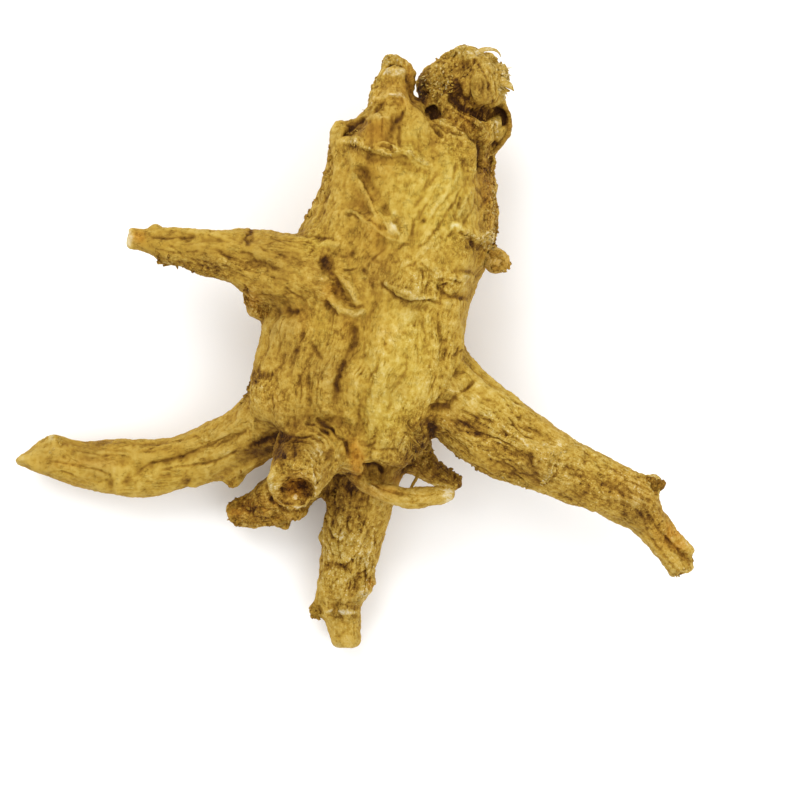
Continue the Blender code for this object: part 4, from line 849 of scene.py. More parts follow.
# Single strands: pixel x and y and height in mm along each, half widths in mm, flatness and tone
STRANDS = {
    "crown hook": (
        [(476, 54, 17.2), (481, 50.5, 17.5), (488, 49, 17.6), (495, 50, 17.3), (499, 53, 16.8),
         (501, 57, 16.2)],
        (0.34, 0.28, 0.2, 0.05), 0.5, 0.86),
    "crown flap": (
        [(499, 80, 16.0), (505, 83, 16.4), (510, 86, 16.2), (514, 91, 15.6)],
        (0.8, 0.6, 0.35, 0.06), 0.3, 0.82),
    "crown flap below": ([(499, 88, 15.6), (505, 90, 15.8), (510, 91, 15.6)], (0.5, 0.4, 0.08), 0.3, 0.66),
    "sepal": (
        [(503, 106, 14.6), (508.5, 113, 15.0), (510, 124, 15.0), (507, 136, 14.8), (501, 144, 14.4),
         (493, 152, 14.0), (485, 157, 13.6)],
        (0.2, 0.26, 0.24, 0.22, 0.2, 0.15), 0.6, 0.52),
    "hair rootlet": (
        [(418.5, 473, 12.5), (416, 479, 12.8), (413, 484, 13.4), (410.5, 489, 13.9)],
        (0.24, 0.19, 0.21), 1.0, 0.55),
    "arm flap": (
        [(172, 253, 14.6), (167, 257, 14.4), (163, 260, 14.2), (157, 263, 14.0)],
        (0.5, 0.7, 0.55, 0.2), 0.4, 0.5),
    "arm flap below": (
        [(176, 258, 14.2), (170, 262, 13.8), (163, 266, 13.6)],
        (0.3, 0.45, 0.12), 0.5, 0.46),
}

# How crumbs are shaped and set: fineness of their ball, lumps, stretch, depth in the skin, and spread of tone
CRUMB_FINENESS = 2
CRUMB_LUMPS = [(0.8, 1.1, 200), (0.5, 2.6, 201)]
CRUMB_SHIFT = 50.0
CRUMB_STRETCH = (0.4, 1.5)
CRUMB_SINK = 0.35
CRUMB_TONE_SPREAD = 0.06

# How scraps are shaped and set, in the same way, with their half width at even steps along them
SCRAP_SHAPE = np.array([0.7, 1.0, 1.1, 0.9, 0.8, 0.35])
SCRAP_SIDES = 6
SCRAP_TURN = 35.0
SCRAP_HUG = 0.9
SCRAP_CURL = 0.3
SCRAP_LIFT = 0.35
SCRAP_SINK = 0.05
SCRAP_LOWEST = 0.1
SCRAP_WIDTHS = (0.6, 1.4)
SCRAP_EDGES = (0.7, 1.3)
SCRAP_FLATNESS = 0.22
SCRAP_TONE_SPREAD = 0.07
SCRAP_TILT = (0.01, 0.02, 0.0)

# How single strands are drawn: step in mm, sides, unevenness, and the way that their flat side faces
STRAND_STEP = 0.2
STRAND_SIDES = 8
STRAND_UNEVENNESS = [(0.3, 0.5, 210)]
STRAND_UP = (0.1, 0.1, 1.0)

# What crumbs, scraps and strands have in common: the draw, the height of the edge that they hang on where the
# photograph shows floor, their path's step in pixels, and their speckle, dust and roughness
BITS_SEED = 5
EDGE_HEIGHT = 12.0
BITS_STEP = 1.0
BITS_SPECKLE = [(0.12, 0.35, 220)]
BITS_DUST = [(1.0, 1.5, 221)]
BITS_DUST_LEVEL = 0.2
BITS_DUST_MOST = 0.8
BITS_ROUGH = 0.7

# Knobs: how uneven they are, how far out they pull the skin and how soon that fades, in radii, and the
# least distance in mm that a pull is worked out for
KNOB_UNEVENNESS = 0.12
KNOB_NOISE_SIZE = 0.6
KNOB_SEED = 20
KNOB_REACH = 1.5
KNOB_FADE = 0.35
KNOB_CORE = 0.01

# The noise's lattice: how many slopes it draws from, and the factors that mix a cell's place into one of them
NOISE_SLOPES = 256
NOISE_GAIN = 1.6
CELL_FACTORS = (73856093, 19349663, 83492791)
MIX_FACTOR = 1274126177

# How much of its neighbours' value a vertex takes in each pass of averaging
NEIGHBOURS_SHARE = 0.6


# Noise and distances

def noise3(points, seed):
    """Smooth gradient noise, about -0.8 to 0.8, with one lattice cell to a unit."""
    table = np.random.default_rng(seed).normal(size=(NOISE_SLOPES, 3))
    table /= np.linalg.norm(table, axis=1)[:, None]
    base = np.floor(points)
    offset = points - base
    cell = base.astype(np.int64)
    fade = offset**3 * (offset * (offset * 6 - 15) + 10)
    total = np.zeros(len(points))
    for corner in np.ndindex(2, 2, 2):
        mixed = np.bitwise_xor.reduce((cell + corner) * CELL_FACTORS, axis=1)
        mixed = (mixed ^ (mixed >> 13)) * MIX_FACTOR
        slope = table[(mixed >> 8) & (NOISE_SLOPES - 1)]
        share = np.prod(np.where(corner, fade, 1 - fade), axis=1)
        total += share * (slope * (offset - corner)).sum(axis=1)
    return total * NOISE_GAIN


def varied(points, noises):
    """The sum of noises over the points, each with its strength, its size in mm and its seed."""
    return sum(strength * noise3(points / size, seed) for strength, size, seed in noises)


def ridged(points, level, size, seed):
    """Noise with sharp crests, at most the level high."""
    return level - np.abs(noise3(points / size, seed))


def between(ends, share):
    """The value that share of the way from one end to the other."""
    return ends[0] + (ends[1] - ends[0]) * share


def photo_scale(height):
    """Pixels to a mm at a height."""
    return PIXELS_PER_MM * (CAMERA_HEIGHT - MIDDLE_HEIGHT) / (CAMERA_HEIGHT - height)


def in_photo(points):
    """The pixel that each point shows at, right and down."""
    scale = photo_scale(points[:, 2])
    right = PHOTO_SIZE / 2 + (points[:, 0] - CAMERA_PLACE[0]) * scale
    down = PHOTO_SIZE / 2 - (points[:, 1] - CAMERA_PLACE[1]) * scale
    return np.stack([right, down], axis=1)


def from_photo(right, down, height):
    """The point of the given height that shows at a pixel."""
    scale = photo_scale(height)
    x = CAMERA_PLACE[0] + (right - PHOTO_SIZE / 2) / scale
    y = CAMERA_PLACE[1] - (down - PHOTO_SIZE / 2) / scale
    return np.array([x, y, height])


def smooth_path(stations, step):
    """Points along a Catmull-Rom curve through the stations, about a step apart."""
    given = np.array(stations, float)
    ends = [2 * given[0] - given[1], *given, 2 * given[-1] - given[-2]]
    points = []
    for before, here, there, after in zip(ends, ends[1:], ends[2:], ends[3:]):
        count = max(2, round(float(np.linalg.norm(there[:3] - here[:3])) / step))
        for t in np.arange(count) / count:
            bend = 2 * before - 5 * here + 4 * there - after
            twist = 3 * here - before - 3 * there + after
            points.append(here + 0.5 * t * (there - before + t * (bend + t * twist)))
    return np.array([*points, given[-1]])


def path_distance(points, path):
    """How far each point is from the path, and the share of the path before it."""
    nearest = np.full(len(points), np.inf)
    share = np.zeros(len(points))
    steps = np.linalg.norm(np.diff(path, axis=0), axis=1)
    starts = np.concatenate([[0.0], np.cumsum(steps)])
    for start, step, a, b in zip(starts, steps, path, path[1:]):
        heading = (b - a) / step
        t = np.clip((points - a) @ heading / step, 0.0, 1.0)
        away = np.linalg.norm(points - a - t[:, None] * (b - a), axis=1)
        closer = away < nearest
        nearest[closer] = away[closer]
        share[closer] = (start + t[closer] * step) / starts[-1]
    return nearest, share


def limb_space(points, path):
    """Each point as distance along the limb and two offsets across it, its height over the limb's tube, and
    the tube's radius there."""
    centres = path[:, :3]
    along = np.gradient(centres, axis=0)
    along /= np.linalg.norm(along, axis=1)[:, None]
    length = np.concatenate([[0.0], np.cumsum(np.linalg.norm(np.diff(centres, axis=0), axis=1))])
    side = np.cross(along[0], (0.0, 0.0, 1.0))
    first = []
    for direction in along:
        side = side - direction * (side @ direction)
        side = side / np.linalg.norm(side)
        first.append(side)
    first = np.array(first)
    second = np.cross(along, first)
    square = (points**2).sum(1)[:, None] - 2 * points @ centres.T + (centres**2).sum(1)[None]
    near = square.argmin(axis=1)
    offset = points - centres[near]
    ahead, across, over = ((offset * way[near]).sum(1) for way in (along, first, second))
    straight = np.stack([length[near] + ahead, across, over], axis=1)
    return straight, np.sqrt(np.maximum(square.min(axis=1), 0.0)) - path[near, 3], path[near, 3]


# Meshes

def placed(name, data):
    """A new object in the scene."""
    made = bpy.data.objects.new(name, data)
    bpy.context.scene.collection.objects.link(made)
    return made


def read_points(mesh, what="co"):
    """Where each vertex is in metres, or another vector that it has."""
    rows = np.empty(len(mesh.vertices) * 3, np.float32)
    mesh.vertices.foreach_get(what, rows)
    return rows.reshape(-1, 3).astype(float)


def write_points(mesh, points):
    """Moves the vertices to points given in mm."""
    mesh.vertices.foreach_set("co", (points * MM).astype(np.float32).ravel())
    mesh.update()


def write_attribute(mesh, name, values):
    """A number or a vector at each vertex."""
    kind, field = ("FLOAT", "value") if values.ndim == 1 else ("FLOAT_VECTOR", "vector")
    made = mesh.attributes.new(name, kind, "POINT")
    made.data.foreach_set(field, values.astype(np.float32).ravel())


def relaxed(values, mesh, passes):
    """Each vertex's value averaged with its neighbours' again and again."""
    count = len(values)
    ends = np.empty(len(mesh.edges) * 2, np.int32)
    mesh.edges.foreach_get("vertices", ends)
    ends = ends.reshape(-1, 2)
    here = np.concatenate([ends[:, 0], ends[:, 1]])
    there = np.concatenate([ends[:, 1], ends[:, 0]])
    degree = np.maximum(np.bincount(here, minlength=count), 1)
    for _ in range(passes):
        mean = np.bincount(here, values[there], count) / degree
        values = between((values, mean), NEIGHBOURS_SHARE)
    return values


def add_smoothing(thing, factor, passes):
    soft = thing.modifiers.new("soft", "SMOOTH")
    soft.factor = factor
    soft.iterations = passes


def taken_mesh(thing):
    """The object's mesh with its modifiers applied. The object is removed."""
    graph = bpy.context.evaluated_depsgraph_get()
    mesh = bpy.data.meshes.new_from_object(thing.evaluated_get(graph))
    bpy.data.objects.remove(thing)
    return mesh


def fine_skin():
    """The solid's surface in small even faces, without its facets."""
    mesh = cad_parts[NODE].data.copy()
    weld = bmesh.new()
    weld.from_mesh(mesh)
    bmesh.ops.remove_doubles(weld, verts=weld.verts, dist=WELD_GAP * MM)
    weld.to_mesh(mesh)
    weld.free()
    mesh.materials.clear()
    thing = placed("fine_skin", mesh)
    rounded = thing.modifiers.new("rounded", "SUBSURF")
    rounded.levels = rounded.render_levels = ROUNDING_LEVELS
    even = thing.modifiers.new("even", "REMESH")
    even.mode = "VOXEL"
    even.voxel_size = VOXEL * MM
    add_smoothing(thing, BASE_FACTOR, BASE_PASSES)
    return taken_mesh(thing)


def levelled(mesh, points, passes):
    """The points after that many passes of smoothing."""
    copy = mesh.copy()
    write_points(copy, points)
    thing = placed("levelled", copy)
    add_smoothing(thing, LEVEL_FACTOR, passes)
    smooth = taken_mesh(thing)
    rows = read_points(smooth) / MM
    for spent in (copy, smooth):
        bpy.data.meshes.remove(spent)
    return rows


def reshaped(mesh):
    """The skin's points with facets levelled, the outline pushed to the photograph's, and round knobs."""
    points = read_points(mesh) / MM
    share = np.clip(cover(points, LEVELLED_PLACES, SPOT_SHARPNESS), 0.0, 1.0)[:, None]
    points = points + share * (levelled(mesh, points, LEVEL_PASSES) - points)
    for right, down, height, radius, push in PUSHES:
        away = np.linalg.norm(points - from_photo(right, down, height), axis=1) / radius
        points += np.array(push) * (np.clip(1.0 - away**2, 0.0, 1.0) ** 2)[:, None]
    for right, down, height, radius in KNOBS:
        offset = points - from_photo(right, down, height)
        away = np.linalg.norm(offset, axis=1)
        uneven = radius * (1.0 + varied(points, [(KNOB_UNEVENNESS, KNOB_NOISE_SIZE * radius, KNOB_SEED)]))
        pull = np.clip((KNOB_REACH - away / radius) / KNOB_FADE, 0.0, 1.0)
        points += offset * ((uneven / np.maximum(away, KNOB_CORE) - 1.0) * pull)[:, None]
    return points


def seen_from_above(mesh, points, normals):
    """1 where nothing lies over a point of the skin and it doesn't face down, else 0."""
    tree = BVHTree.FromPolygons([tuple(p) for p in points], [tuple(f.vertices) for f in mesh.polygons])
    up = Vector((0.0, 0.0, 1.0))
    seen = np.clip(normals[:, 2] * FACING_GAIN + FACING_START, 0.0, 1.0)
    for index in np.flatnonzero(seen):
        start = Vector(points[index] + normals[index] * RAY_START)
        if tree.ray_cast(start, up, RAY_LENGTH)[0] is not None:
            seen[index] = 0.0
    return seen


# The skin

def cover(points, spots, sharpness):
    """How strongly soft round spots of the photograph cover each point."""
    total = np.zeros(len(points))
    places = in_photo(points)
    for x, y, across, down, strength in spots:
        away = (places - (x, y)) / (across, down)
        near = np.flatnonzero((np.abs(away) < SPOT_REACH).all(axis=1))
        total[near] += strength * np.exp(-(away[near] ** 2).sum(axis=1) * sharpness)
    return total


def wrinkles(points):
    """The height of the long wrinkles at each point, how deep in a furrow it is, its short dark streaks, and
    its place along and across the limb that it is on."""
    height, furrow, streak, strongest = np.zeros((4, len(points)))
    grain = points.copy()
    weight = np.full(len(points), LEAST_WEIGHT)
    wander = sum(
        np.stack([noise3(points / size, seed + way) for way in range(3)], axis=1) * reach
        for size, seed, reach in WRINKLE_WANDER)
    broken = np.clip(WRINKLE_SHARE + varied(points, WRINKLE_BREAKS), *WRINKLE_SHARE_RANGE)
    for number, stations in enumerate(LIMBS.values()):
        path = smooth_path(stations, AXIS_STEP)
        path[:, :3] += DRAWING_ORIGIN
        reach = path[:, 3].max() + LIMB_REACH
        low, high = path[:, :3].min(axis=0) - reach, path[:, :3].max(axis=0) + reach
        near = np.flatnonzero(np.all((points > low) & (points < high), axis=1))
        straight, over, radius = limb_space(points[near], path)
        share = np.exp(-LIMB_FALL * (over / LIMB_BLEND) ** 2)
        straight = straight + wander[near]
        strength = np.clip(radius / FULL_WRINKLE_RADIUS, LEAST_WRINKLE_STRENGTH, 1.0)
        tall, deep = np.zeros((2, len(near)))
        for size, (along, across, depth, narrow) in enumerate(WRINKLES):
            seed = WRINKLE_SEED + WRINKLE_SEED_STEP * size + number
            wave = noise3(straight / (along, across, across), seed)
            groove = broken[near] * (1.0 - np.clip(np.abs(wave) / narrow, 0.0, 1.0))
            tall -= depth * groove**FURROW_SHARPNESS * strength
            deep += groove * depth * strength
        dashes = noise3(straight / STREAK_SIZE, STREAK_SEED + number)
        height[near] += share * tall
        furrow[near] += share * deep
        streak[near] += share * np.clip(dashes * STREAK_GAIN - 1.0, 0.0, 1.0)
        weight[near] += share
        leads = share > strongest[near]
        grain[near[leads]] = straight[leads]
        strongest[near[leads]] = share[leads]
    total = sum(depth for _, _, depth, _ in WRINKLES)
    return height / weight, furrow / weight / total, streak / weight, grain


def marked(points, seen):
    """The height in mm that the marks add at each point of the side that shows, and their light and shade."""
    height, dark, pale = np.zeros((3, len(points)))
    wobble = [noise3(points / WOBBLE_SIZE, WOBBLE_SEED + way) * WOBBLE_PIXELS for way in range(2)]
    places = in_photo(points) + np.stack(wobble, axis=1)
    ragged = np.clip(1.0 + varied(points, MARK_BREAKS), *MARK_BREAK_RANGE)
    for pixels, half_width, rise, shade in MARKS:
        path = smooth_path(pixels, MARK_STEP)
        spread = MARK_WIDTH * half_width * PIXELS_PER_MM
        low, high = path.min(axis=0) - MARK_REACH * spread, path.max(axis=0) + MARK_REACH * spread
        near = np.flatnonzero(np.all((places > low) & (places < high), axis=1) & (seen > 0.0))
        away, share = path_distance(places[near], path)
        fade = np.clip(np.sin(math.pi * between((MARK_END, 1.0 - MARK_END), share)) * MARK_TAPER, 0.0, 1.0)
        line = fade * np.exp(-((away / spread) ** 2)) * seen[near] * ragged[near]
        height[near] += MARK_RISE * rise * line
        tinted = dark if shade < 0.0 else pale
        tinted[near] = np.maximum(tinted[near], MARK_SHADE * abs(shade) * line)
    return height, pale, dark


def patches(points, seen, rough, spots, seed):
    """How strongly the listed patches cover each point, ragged where the skin is rough."""
    clouds = [(strength, size, seed + number) for number, (strength, size) in enumerate(PATCH_CLOUDS)]
    ragged = np.clip(1.0 + between(PATCH_RAGGED, rough) * varied(points, clouds), *PATCH_RAGGED_RANGE)
    return np.clip(cover(points, spots, PATCH_SHARPNESS) * seen * ragged, 0.0, PATCH_MOST)


def crown_share(points):
    """1 on the shaggy head and the tip of the stem, fading to 0 on the smooth skin."""
    share = np.zeros(len(points))
    places = in_photo(points)
    for x, y, radius, strength in SHAGGY_PLACES:
        away = np.linalg.norm(places - (x, y), axis=1) / radius
        share = np.maximum(share, strength * np.clip(SHAG_REACH - away, 0.0, 1.0))
    return share


def tint_strengths(points, seen, rough):
    """How strongly each point has each tint."""
    tints = {}
    for name, seed in TINT_SEEDS.items():
        tints[name] = patches(points, seen, rough, TINT_PATCHES[name], seed)
    for name, (share, size, seed, gain, less) in TINT_CLOUDS.items():
        cloud = np.clip(noise3(points / size, seed) * gain - less, 0.0, TINT_CLOUD_MOST)
        tints[name] += share * cloud
    return tints


def sculpted(mesh):
    """Presses marks and wrinkles in the skin. Gives its points and normals, and its colouring with its
    painted shade and highlights, and grain at each vertex."""
    points = reshaped(mesh)
    write_points(mesh, points)
    normals = read_points(mesh, "normal")
    seen = relaxed(seen_from_above(mesh, points, normals), mesh, SEEN_PASSES)
    mark, lip, crack = marked(points, seen)
    points = points + normals * mark[:, None]
    write_points(mesh, points)
    normals = read_points(mesh, "normal")

    rough = ROUGH_LEVEL + cover(points, ROUGH_PATCHES, SPOT_SHARPNESS) + varied(points, ROUGH_CLOUDS)
    rough = np.clip(rough, 0.0, 1.0)
    shaggy = crown_share(points)
    crumpled = ridged(points, *SHAG) + FINE_SHAG_SHARE * ridged(points, *FINE_SHAG)
    height, furrow, streak, grain = wrinkles(points)
    height *= between(WRINKLE_GAIN, rough)
    height += varied(points, PUCKERS)
    height += between(SMALL_PUCKER_GAIN, rough) * varied(points, SMALL_PUCKERS)
    height += between(PIT_HEIGHT, rough) * ridged(points, *PITS)
    height += SHAG_HEIGHT * shaggy * crumpled
    points = points + normals * height[:, None]
    points[:, 2] = np.maximum(points[:, 2], 0.0)
    write_points(mesh, points)
    normals = read_points(mesh, "normal")

    tone = TONE_LEVEL + varied(points, TONE_CLOUDS)
    tone += between(SPECK_SHADE, rough) * varied(points, TONE_SPECKS)
    # Furrows darken with their depth: painted shade in the creases, along with the dark dirt in them. Streaks
    # are dark marks of the skin itself.
    tone -= between(FURROW_SHADE, rough) * furrow + between(STREAK_SHADE, rough) * streak
    # The marks' dark and pale: partly the skin's own cracks and pale lips, partly painted shade in the
    # furrows and painted highlight on the lips.
    tone += LIP_LIGHT * lip - CRACK_SHADE * crack
    # Painted shade in the hollows and painted highlight on the humps, from how far the skin lies under or
    # over its levelled self
    for passes, share, most in PAINTED_HOLLOW_SHADE:
        level = levelled(mesh, points, passes)
        depth = ((level - points) * normals).sum(axis=1)
        tone -= np.clip(depth * share, -PAINTED_HUMP_HIGHLIGHT_SHARE * most, most)
    tone -= DARK_PATCH_SHADE * patches(points, seen, rough, DARK_PATCHES, DARK_PATCH_SEED)
    tone += PALE_PATCH_LIGHT * patches(points, seen, rough, PALE_PATCHES, PALE_PATCH_SEED)
    # Painted shade on the skin that faces down.
    tone -= UNDERSIDE_SHADE * np.clip(-normals[:, 2] * UNDERSIDE_GAIN, 0.0, 1.0)
    # On the shaggy head: darker all over, and paler on the raised crests, partly paler fibres and partly
    # painted highlight on the crests.
    tone += shaggy * (SHAG_LIGHT * crumpled - SHAG_SHADE)
    colouring = {"tone": tone, "rough": rough, **tint_strengths(points, seen, rough)}
    return points, normals, colouring, grain


def skin_object(name, points, faces, attributes, material):
    """An object of the skin's material, with its attributes at each vertex."""
    mesh = bpy.data.meshes.new(name)
    mesh.from_pydata((points * MM).tolist(), [], faces)
    mesh.shade_smooth()
    for attribute, values in attributes.items():
        write_attribute(mesh, attribute, values)
    mesh.materials.append(material)
    return placed(name, mesh)


def skin_sections(material):
    """The whole skin in a few objects, cut as SECTIONS says, and a tree for finding places on it."""
    mesh = fine_skin()
    points, normals, colouring, grain = sculpted(mesh)
    faces = np.empty(len(mesh.loops), np.int32)
    mesh.loops.foreach_get("vertex_index", faces)
    faces = faces.reshape(-1, 4)
    middle = points[faces, 1].mean(axis=1)
    made = []
    top = math.inf
    for name, low in SECTIONS.items():
        chosen = faces[(middle <= top) & (middle > low)]
        used, corners = np.unique(chosen, return_inverse=True)
        attributes = {key: np.clip(values[used], 0.0, 1.0) for key, values in colouring.items()}
        attributes["grain"] = grain[used]
        piece = skin_object(name, points[used], corners.reshape(chosen.shape).tolist(), attributes, material)
        piece.data.normals_split_custom_set_from_vertices(normals[used].tolist())
        made.append(piece)
        top = low
    return made, BVHTree.FromPolygons(points.tolist(), faces.tolist())


# Bits that stand on the skin

def skin_under(tree, right, down):
    """The point of the skin that shows at a pixel, or the nearest one to it, and the normal there."""
    eye = Vector((*CAMERA_PLACE, CAMERA_HEIGHT))
    target = Vector(from_photo(right, down, EDGE_HEIGHT))
    place, normal, _, _ = tree.ray_cast(eye, (target - eye).normalized())
    if place is None:
        place, normal, _, _ = tree.find_nearest(target)
    return np.array(place), np.array(normal)


def places_near(tree, pixels, count, spread, draw):
    """Random places of the skin near a path in the photograph, one after another, each with its normal."""
    path = smooth_path(pixels, BITS_STEP)
    for _ in range(count):
        right, down = path[draw.integers(len(path))] + draw.normal(0.0, spread, 2)
        yield skin_under(tree, right, down)


def ball():
    """The vertices of a unit ball and its triangles."""
    sphere = bmesh.new()
    bmesh.ops.create_icosphere(sphere, subdivisions=CRUMB_FINENESS, radius=1.0)
    points = np.array([tuple(vertex.co) for vertex in sphere.verts])
    faces = [tuple(vertex.index for vertex in face.verts) for face in sphere.faces]
    sphere.free()
    return points, faces


def random_turn(draw):
    """A random rotation as a matrix."""
    turn, _ = np.linalg.qr(draw.normal(size=(3, 3)))
    return turn


def crumbs(tree, draw):
    """Small uneven lumps in rows over the rough places."""
    points, faces = ball()
    made = []
    for pixels, count, spread, (small, large), tone, warm in CRUMB_ROWS.values():
        for place, normal in places_near(tree, pixels, count, spread, draw):
            size = small + (large - small) * draw.random() ** 2
            shift = draw.uniform(0.0, CRUMB_SHIFT, 3)
            lumps = sum(high * noise3(points * rate + shift, seed) for high, rate, seed in CRUMB_LUMPS)
            shape = points * (1.0 + lumps)[:, None] * size * draw.uniform(*CRUMB_STRETCH, 3)
            shape = shape @ random_turn(draw)
            tinted = tone + draw.normal(0.0, CRUMB_TONE_SPREAD)
            made.append((place - normal * size * CRUMB_SINK + shape, faces, tinted, warm))
    return made


def strand(path, radii, up, flatness, sides):
    """Vertices and faces of a thin strand along a path, closed at both ends and flat where it faces up."""
    along = np.gradient(path, axis=0)
    along /= np.linalg.norm(along, axis=1)[:, None]
    side = np.cross(along, up)
    side /= np.linalg.norm(side, axis=1)[:, None]
    other = np.cross(along, side) * flatness
    turn = np.arange(sides) * 2.0 * math.pi / sides
    ring = side[:, None] * np.cos(turn)[:, None] + other[:, None] * np.sin(turn)[:, None]
    points = (path[:, None] + np.array(radii)[:, None, None] * ring).reshape(-1, 3)
    faces = []
    for step in range(len(path) - 1):
        for corner in range(sides):
            a, b = step * sides + corner, step * sides + (corner + 1) % sides
            faces.append((a, b, b + sides, a + sides))
    faces.append(tuple(range(sides))[::-1])
    faces.append(tuple(range(len(points) - sides, len(points))))
    return points, faces


def scraps(tree, draw):
    """Papery shreds that lie on the skin along the frayed edges and lift a little at their ends."""
    made = []
    steps = np.linspace(0.0, 1.0, len(SCRAP_SHAPE))[:, None]
    for pixels, count, spread, heading, lengths, width, tone in SCRAPS.values():
        for place, normal in places_near(tree, pixels, count, spread, draw):
            turn = math.radians(heading + draw.normal(0.0, SCRAP_TURN))
            way = np.array([math.cos(turn), math.sin(turn), 0.0])
            way -= normal * (way @ normal) * SCRAP_HUG
            curl = draw.normal(0.0, SCRAP_CURL, 3)
            lift = normal * draw.uniform(0.0, SCRAP_LIFT)
            length = draw.uniform(*lengths)
            curve = place - normal * SCRAP_SINK + length * (way * steps + (curl + lift) * steps**2)
            curve[:, 2] = np.maximum(curve[:, 2], SCRAP_LOWEST)
            radii = width * draw.uniform(*SCRAP_WIDTHS) * SCRAP_SHAPE
            radii = radii * draw.uniform(*SCRAP_EDGES, len(SCRAP_SHAPE))
            tinted = tone + draw.normal(0.0, SCRAP_TONE_SPREAD)
            shape = strand(curve, radii, normal + SCRAP_TILT, SCRAP_FLATNESS, SCRAP_SIDES)
            made.append((*shape, tinted, 0.0))
    return made


def drawn_strands():
    """The single strands that the photograph shows, each with its own path."""
    made = []
    for pixels, radii, flatness, tone in STRANDS.values():
        path = smooth_path([from_photo(*point) for point in pixels], STRAND_STEP)
        steps = np.linspace(0.0, 1.0, len(path))
        thick = np.interp(steps, np.linspace(0.0, 1.0, len(radii)), radii)
        thick = thick * (1.0 + varied(path, STRAND_UNEVENNESS))
        made.append((*strand(path, thick, STRAND_UP, flatness, STRAND_SIDES), tone, 0.0))
    return made


def joined(name, bits, material):
    """One object of all the bits, with their tones and tints."""
    shapes, all_faces, tones, warmths = zip(*bits)
    counts = [len(shape) for shape in shapes]
    points = np.concatenate(shapes)
    faces = []
    start = 0
    for count, its_faces in zip(counts, all_faces):
        faces += [tuple(start + corner for corner in face) for face in its_faces]
        start += count
    tone = np.repeat(tones, counts) + varied(points, BITS_SPECKLE)
    attributes = {
        "tone": np.clip(tone, 0.0, 1.0),
        "warm": np.repeat(warmths, counts),
        "yellow": np.zeros(len(points)),
        "dust": np.clip(varied(points, BITS_DUST) + BITS_DUST_LEVEL, 0.0, BITS_DUST_MOST),
        "rough": np.full(len(points), BITS_ROUGH),
        "grain": points,
    }
    return skin_object(name, points, faces, attributes, material)


# Materials

def add_node(tree, kind, **settings):
    made = tree.nodes.new(kind)
    for name, value in settings.items():
        setattr(made, name, value)
    return made


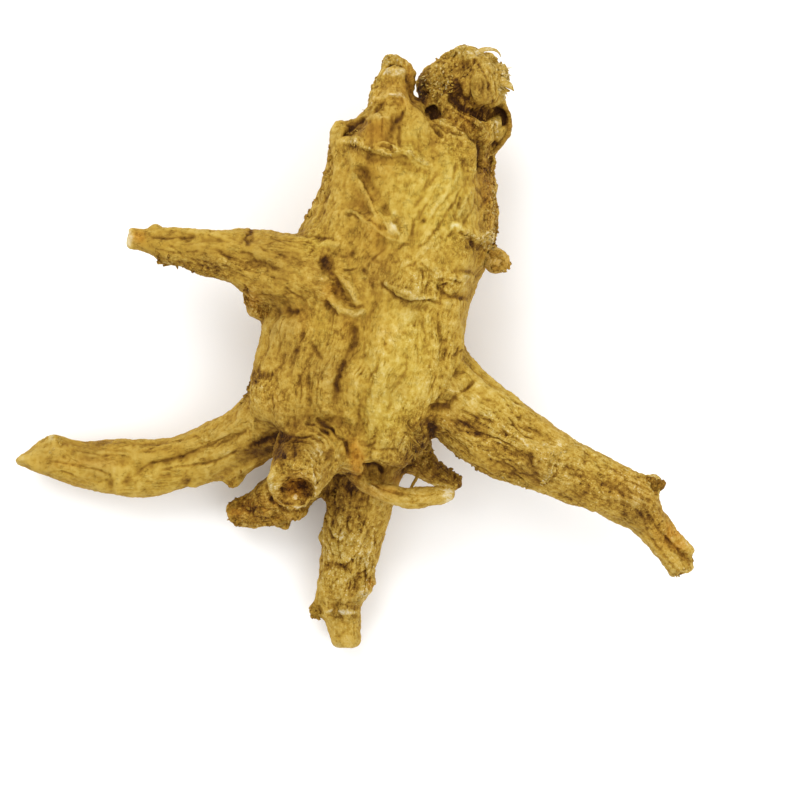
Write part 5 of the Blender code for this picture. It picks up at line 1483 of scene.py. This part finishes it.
def skin_material():
    """Dry root skin: its colour follows the tone and tints on the mesh, with fine grain and bump."""
    made = bpy.data.materials.new(SLOT)
    made.use_nodes = True
    tree = made.node_tree
    link = tree.links.new
    shader = tree.nodes["Principled BSDF"]
    shader.inputs["Roughness"].default_value = SKIN_ROUGHNESS
    shader.inputs["Specular IOR Level"].default_value = SKIN_SPECULAR

    def attribute(name, output="Fac"):
        return add_node(tree, "ShaderNodeAttribute", attribute_name=name).outputs[output]

    def noise(where, scale, detail, rough=NOISE_ROUGHNESS):
        """Noise over a vector, with scale in cells to a mm, or one scale for each way."""
        stretched = add_node(tree, "ShaderNodeVectorMath", operation="MULTIPLY")
        link(where, stretched.inputs[0])
        stretched.inputs[1].default_value = scale if isinstance(scale, tuple) else (scale,) * 3
        texture = add_node(tree, "ShaderNodeTexNoise")
        link(stretched.outputs[0], texture.inputs["Vector"])
        texture.inputs["Scale"].default_value = 1.0
        texture.inputs["Detail"].default_value = detail
        texture.inputs["Roughness"].default_value = rough
        return texture.outputs["Fac"]

    def combined(a, b, operation="ADD"):
        total = add_node(tree, "ShaderNodeMath", operation=operation)
        for value, socket in zip((a, b), total.inputs):
            if isinstance(value, float):
                socket.default_value = value
            else:
                link(value, socket)
        return total.outputs[0]

    def ranged(source, low, high, at_low, at_high):
        """From at_low to at_high as the source goes from low to high, and level outside that."""
        made_range = add_node(tree, "ShaderNodeMapRange")
        for name, value in (("From Min", low), ("From Max", high), ("To Min", at_low), ("To Max", at_high)):
            made_range.inputs[name].default_value = value
        link(source, made_range.inputs["Value"])
        return made_range.outputs["Result"]

    def lines(scale, width, depth):
        """Thin broken lines along the limbs, where stretched noise crosses its middle."""
        across = noise(places["limb"], scale, CRACK_DETAIL, CRACK_NOISE_ROUGHNESS)
        middle = combined(combined(across, 0.5, "SUBTRACT"), 0.0, "ABSOLUTE")
        size, detail, start, full = CRACK_BREAKS
        broken = ranged(noise(places["skin"], size, detail), start, full, 0.0, 1.0)
        return combined(ranged(middle, 0.0, width, depth, 0.0), broken, "MULTIPLY")

    def dots(scale, detail, start, full, shade):
        """Dots where noise is high."""
        return ranged(noise(places["skin"], scale, detail), start, full, 0.0, shade)

    def multiplied(colour, tint, share):
        """The colour times the tint, by a share."""
        mix = add_node(tree, "ShaderNodeMix", data_type="RGBA", blend_type="MULTIPLY")
        link(share, mix.inputs["Factor"])
        link(colour, mix.inputs["A"])
        mix.inputs["B"].default_value = (*tint, 1.0)
        return mix.outputs["Result"]

    in_mm = add_node(tree, "ShaderNodeVectorMath", operation="SCALE")
    link(add_node(tree, "ShaderNodeTexCoord").outputs["Object"], in_mm.inputs[0])
    in_mm.inputs["Scale"].default_value = 1.0 / MM
    places = {"skin": in_mm.outputs[0], "limb": attribute("grain", "Vector")}

    rough = attribute("rough")
    coarse = ranged(rough, 0.0, 1.0, *COARSE_GRAIN)
    cracks = combined(*(lines(*crack) for crack in CRACKS))
    waves = [
        ranged(noise(places[where], scale, detail), GRAIN_LOW, GRAIN_HIGH, -shade, shade)
        for where, scale, detail, shade in GRAIN]
    grain = combined(combined(waves[0], waves[1]), waves[2])
    speckle = combined(dots(*SPECKS), combined(dots(*FLECKS), rough, "MULTIPLY"))
    fine = combined(combined(grain, speckle), coarse, "MULTIPLY")
    tone = combined(combined(attribute("tone"), fine), combined(cracks, CRACK_TONE, "MULTIPLY"))

    ramp = add_node(tree, "ShaderNodeValToRGB")
    stops = ramp.color_ramp.elements
    stops[0].position, stops[0].color = TONES[0][0], (*TONES[0][1], 1.0)
    stops[1].position, stops[1].color = TONES[-1][0], (*TONES[-1][1], 1.0)
    for position, colour in TONES[1:-1]:
        stops.new(position).color = (*colour, 1.0)
    link(tone, ramp.inputs["Fac"])
    colour = ramp.outputs["Color"]
    for name, tint in TINTS.items():
        colour = multiplied(colour, tint, attribute(name))
    link(colour, shader.inputs["Base Color"])

    bump = add_node(tree, "ShaderNodeBump")
    bump.inputs["Strength"].default_value = BUMP_STRENGTH
    bump.inputs["Distance"].default_value = BUMP_HEIGHT * MM
    lumps = combined(*(
        combined(noise(places["skin"], scale, detail), share, "MULTIPLY")
        for scale, detail, share in BUMPS))
    link(combined(lumps, combined(cracks, CRACK_BUMP, "MULTIPLY")), bump.inputs["Height"])
    link(bump.outputs["Normal"], shader.inputs["Normal"])
    return made


# The set

def pale_floor():
    """A pale matt floor just under the root."""
    mesh = bpy.data.meshes.new("floor")
    sheet = bmesh.new()
    bmesh.ops.create_grid(sheet, x_segments=1, y_segments=1, size=FLOOR_HALF_SIZE)
    sheet.to_mesh(mesh)
    sheet.free()
    paper = bpy.data.materials.new("pale_floor")
    paper.use_nodes = True
    for name, value in FLOOR_LOOK.items():
        paper.node_tree.nodes["Principled BSDF"].inputs[name].default_value = value
    mesh.materials.append(paper)
    floor = placed("floor", mesh)
    floor.location = (0.0, 0.0, -FLOOR_GAP)


def studio_light():
    """Even white light from all round, with two soft lamps over it."""
    world = bpy.data.worlds.new("studio")
    bpy.context.scene.world = world
    world.use_nodes = True
    world.node_tree.nodes["Background"].inputs["Color"].default_value = (1.0, 1.0, 1.0, 1.0)
    world.node_tree.nodes["Background"].inputs["Strength"].default_value = WORLD_STRENGTH
    for name, light in LIGHTS.items():
        data = bpy.data.lights.new(name, "AREA")
        data.size = light["size"]
        data.energy = light["power"]
        lamp = placed(name, data)
        lamp.location = light["place"]
        lamp.rotation_euler = (-Vector(light["place"])).to_track_quat("-Z", "Y").to_euler()


def overhead_camera():
    """A camera that looks straight down, so that in_photo() gives the place of a point in its picture."""
    data = bpy.data.cameras.new("camera")
    data.sensor_width = SENSOR_WIDTH
    data.lens = SENSOR_WIDTH * (CAMERA_HEIGHT - MIDDLE_HEIGHT) * PIXELS_PER_MM / PHOTO_SIZE
    data.clip_start = NEAREST_SEEN
    camera = placed("camera", data)
    camera.location = (CAMERA_PLACE[0] * MM, CAMERA_PLACE[1] * MM, CAMERA_HEIGHT * MM)
    bpy.context.scene.camera = camera


skin_look = skin_material()
pieces, skin_tree = skin_sections(skin_look)
luck = np.random.default_rng(BITS_SEED)
pieces.append(joined("crumbs", crumbs(skin_tree, luck), skin_look))
pieces.append(joined("papery_scraps", scraps(skin_tree, luck), skin_look))
pieces.append(joined("single_strands", drawn_strands(), skin_look))
for piece in pieces:
    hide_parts(NODE)
    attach(piece, BODY)
pale_floor()
studio_light()
overhead_camera()
bpy.context.scene.view_settings.view_transform = "Standard"
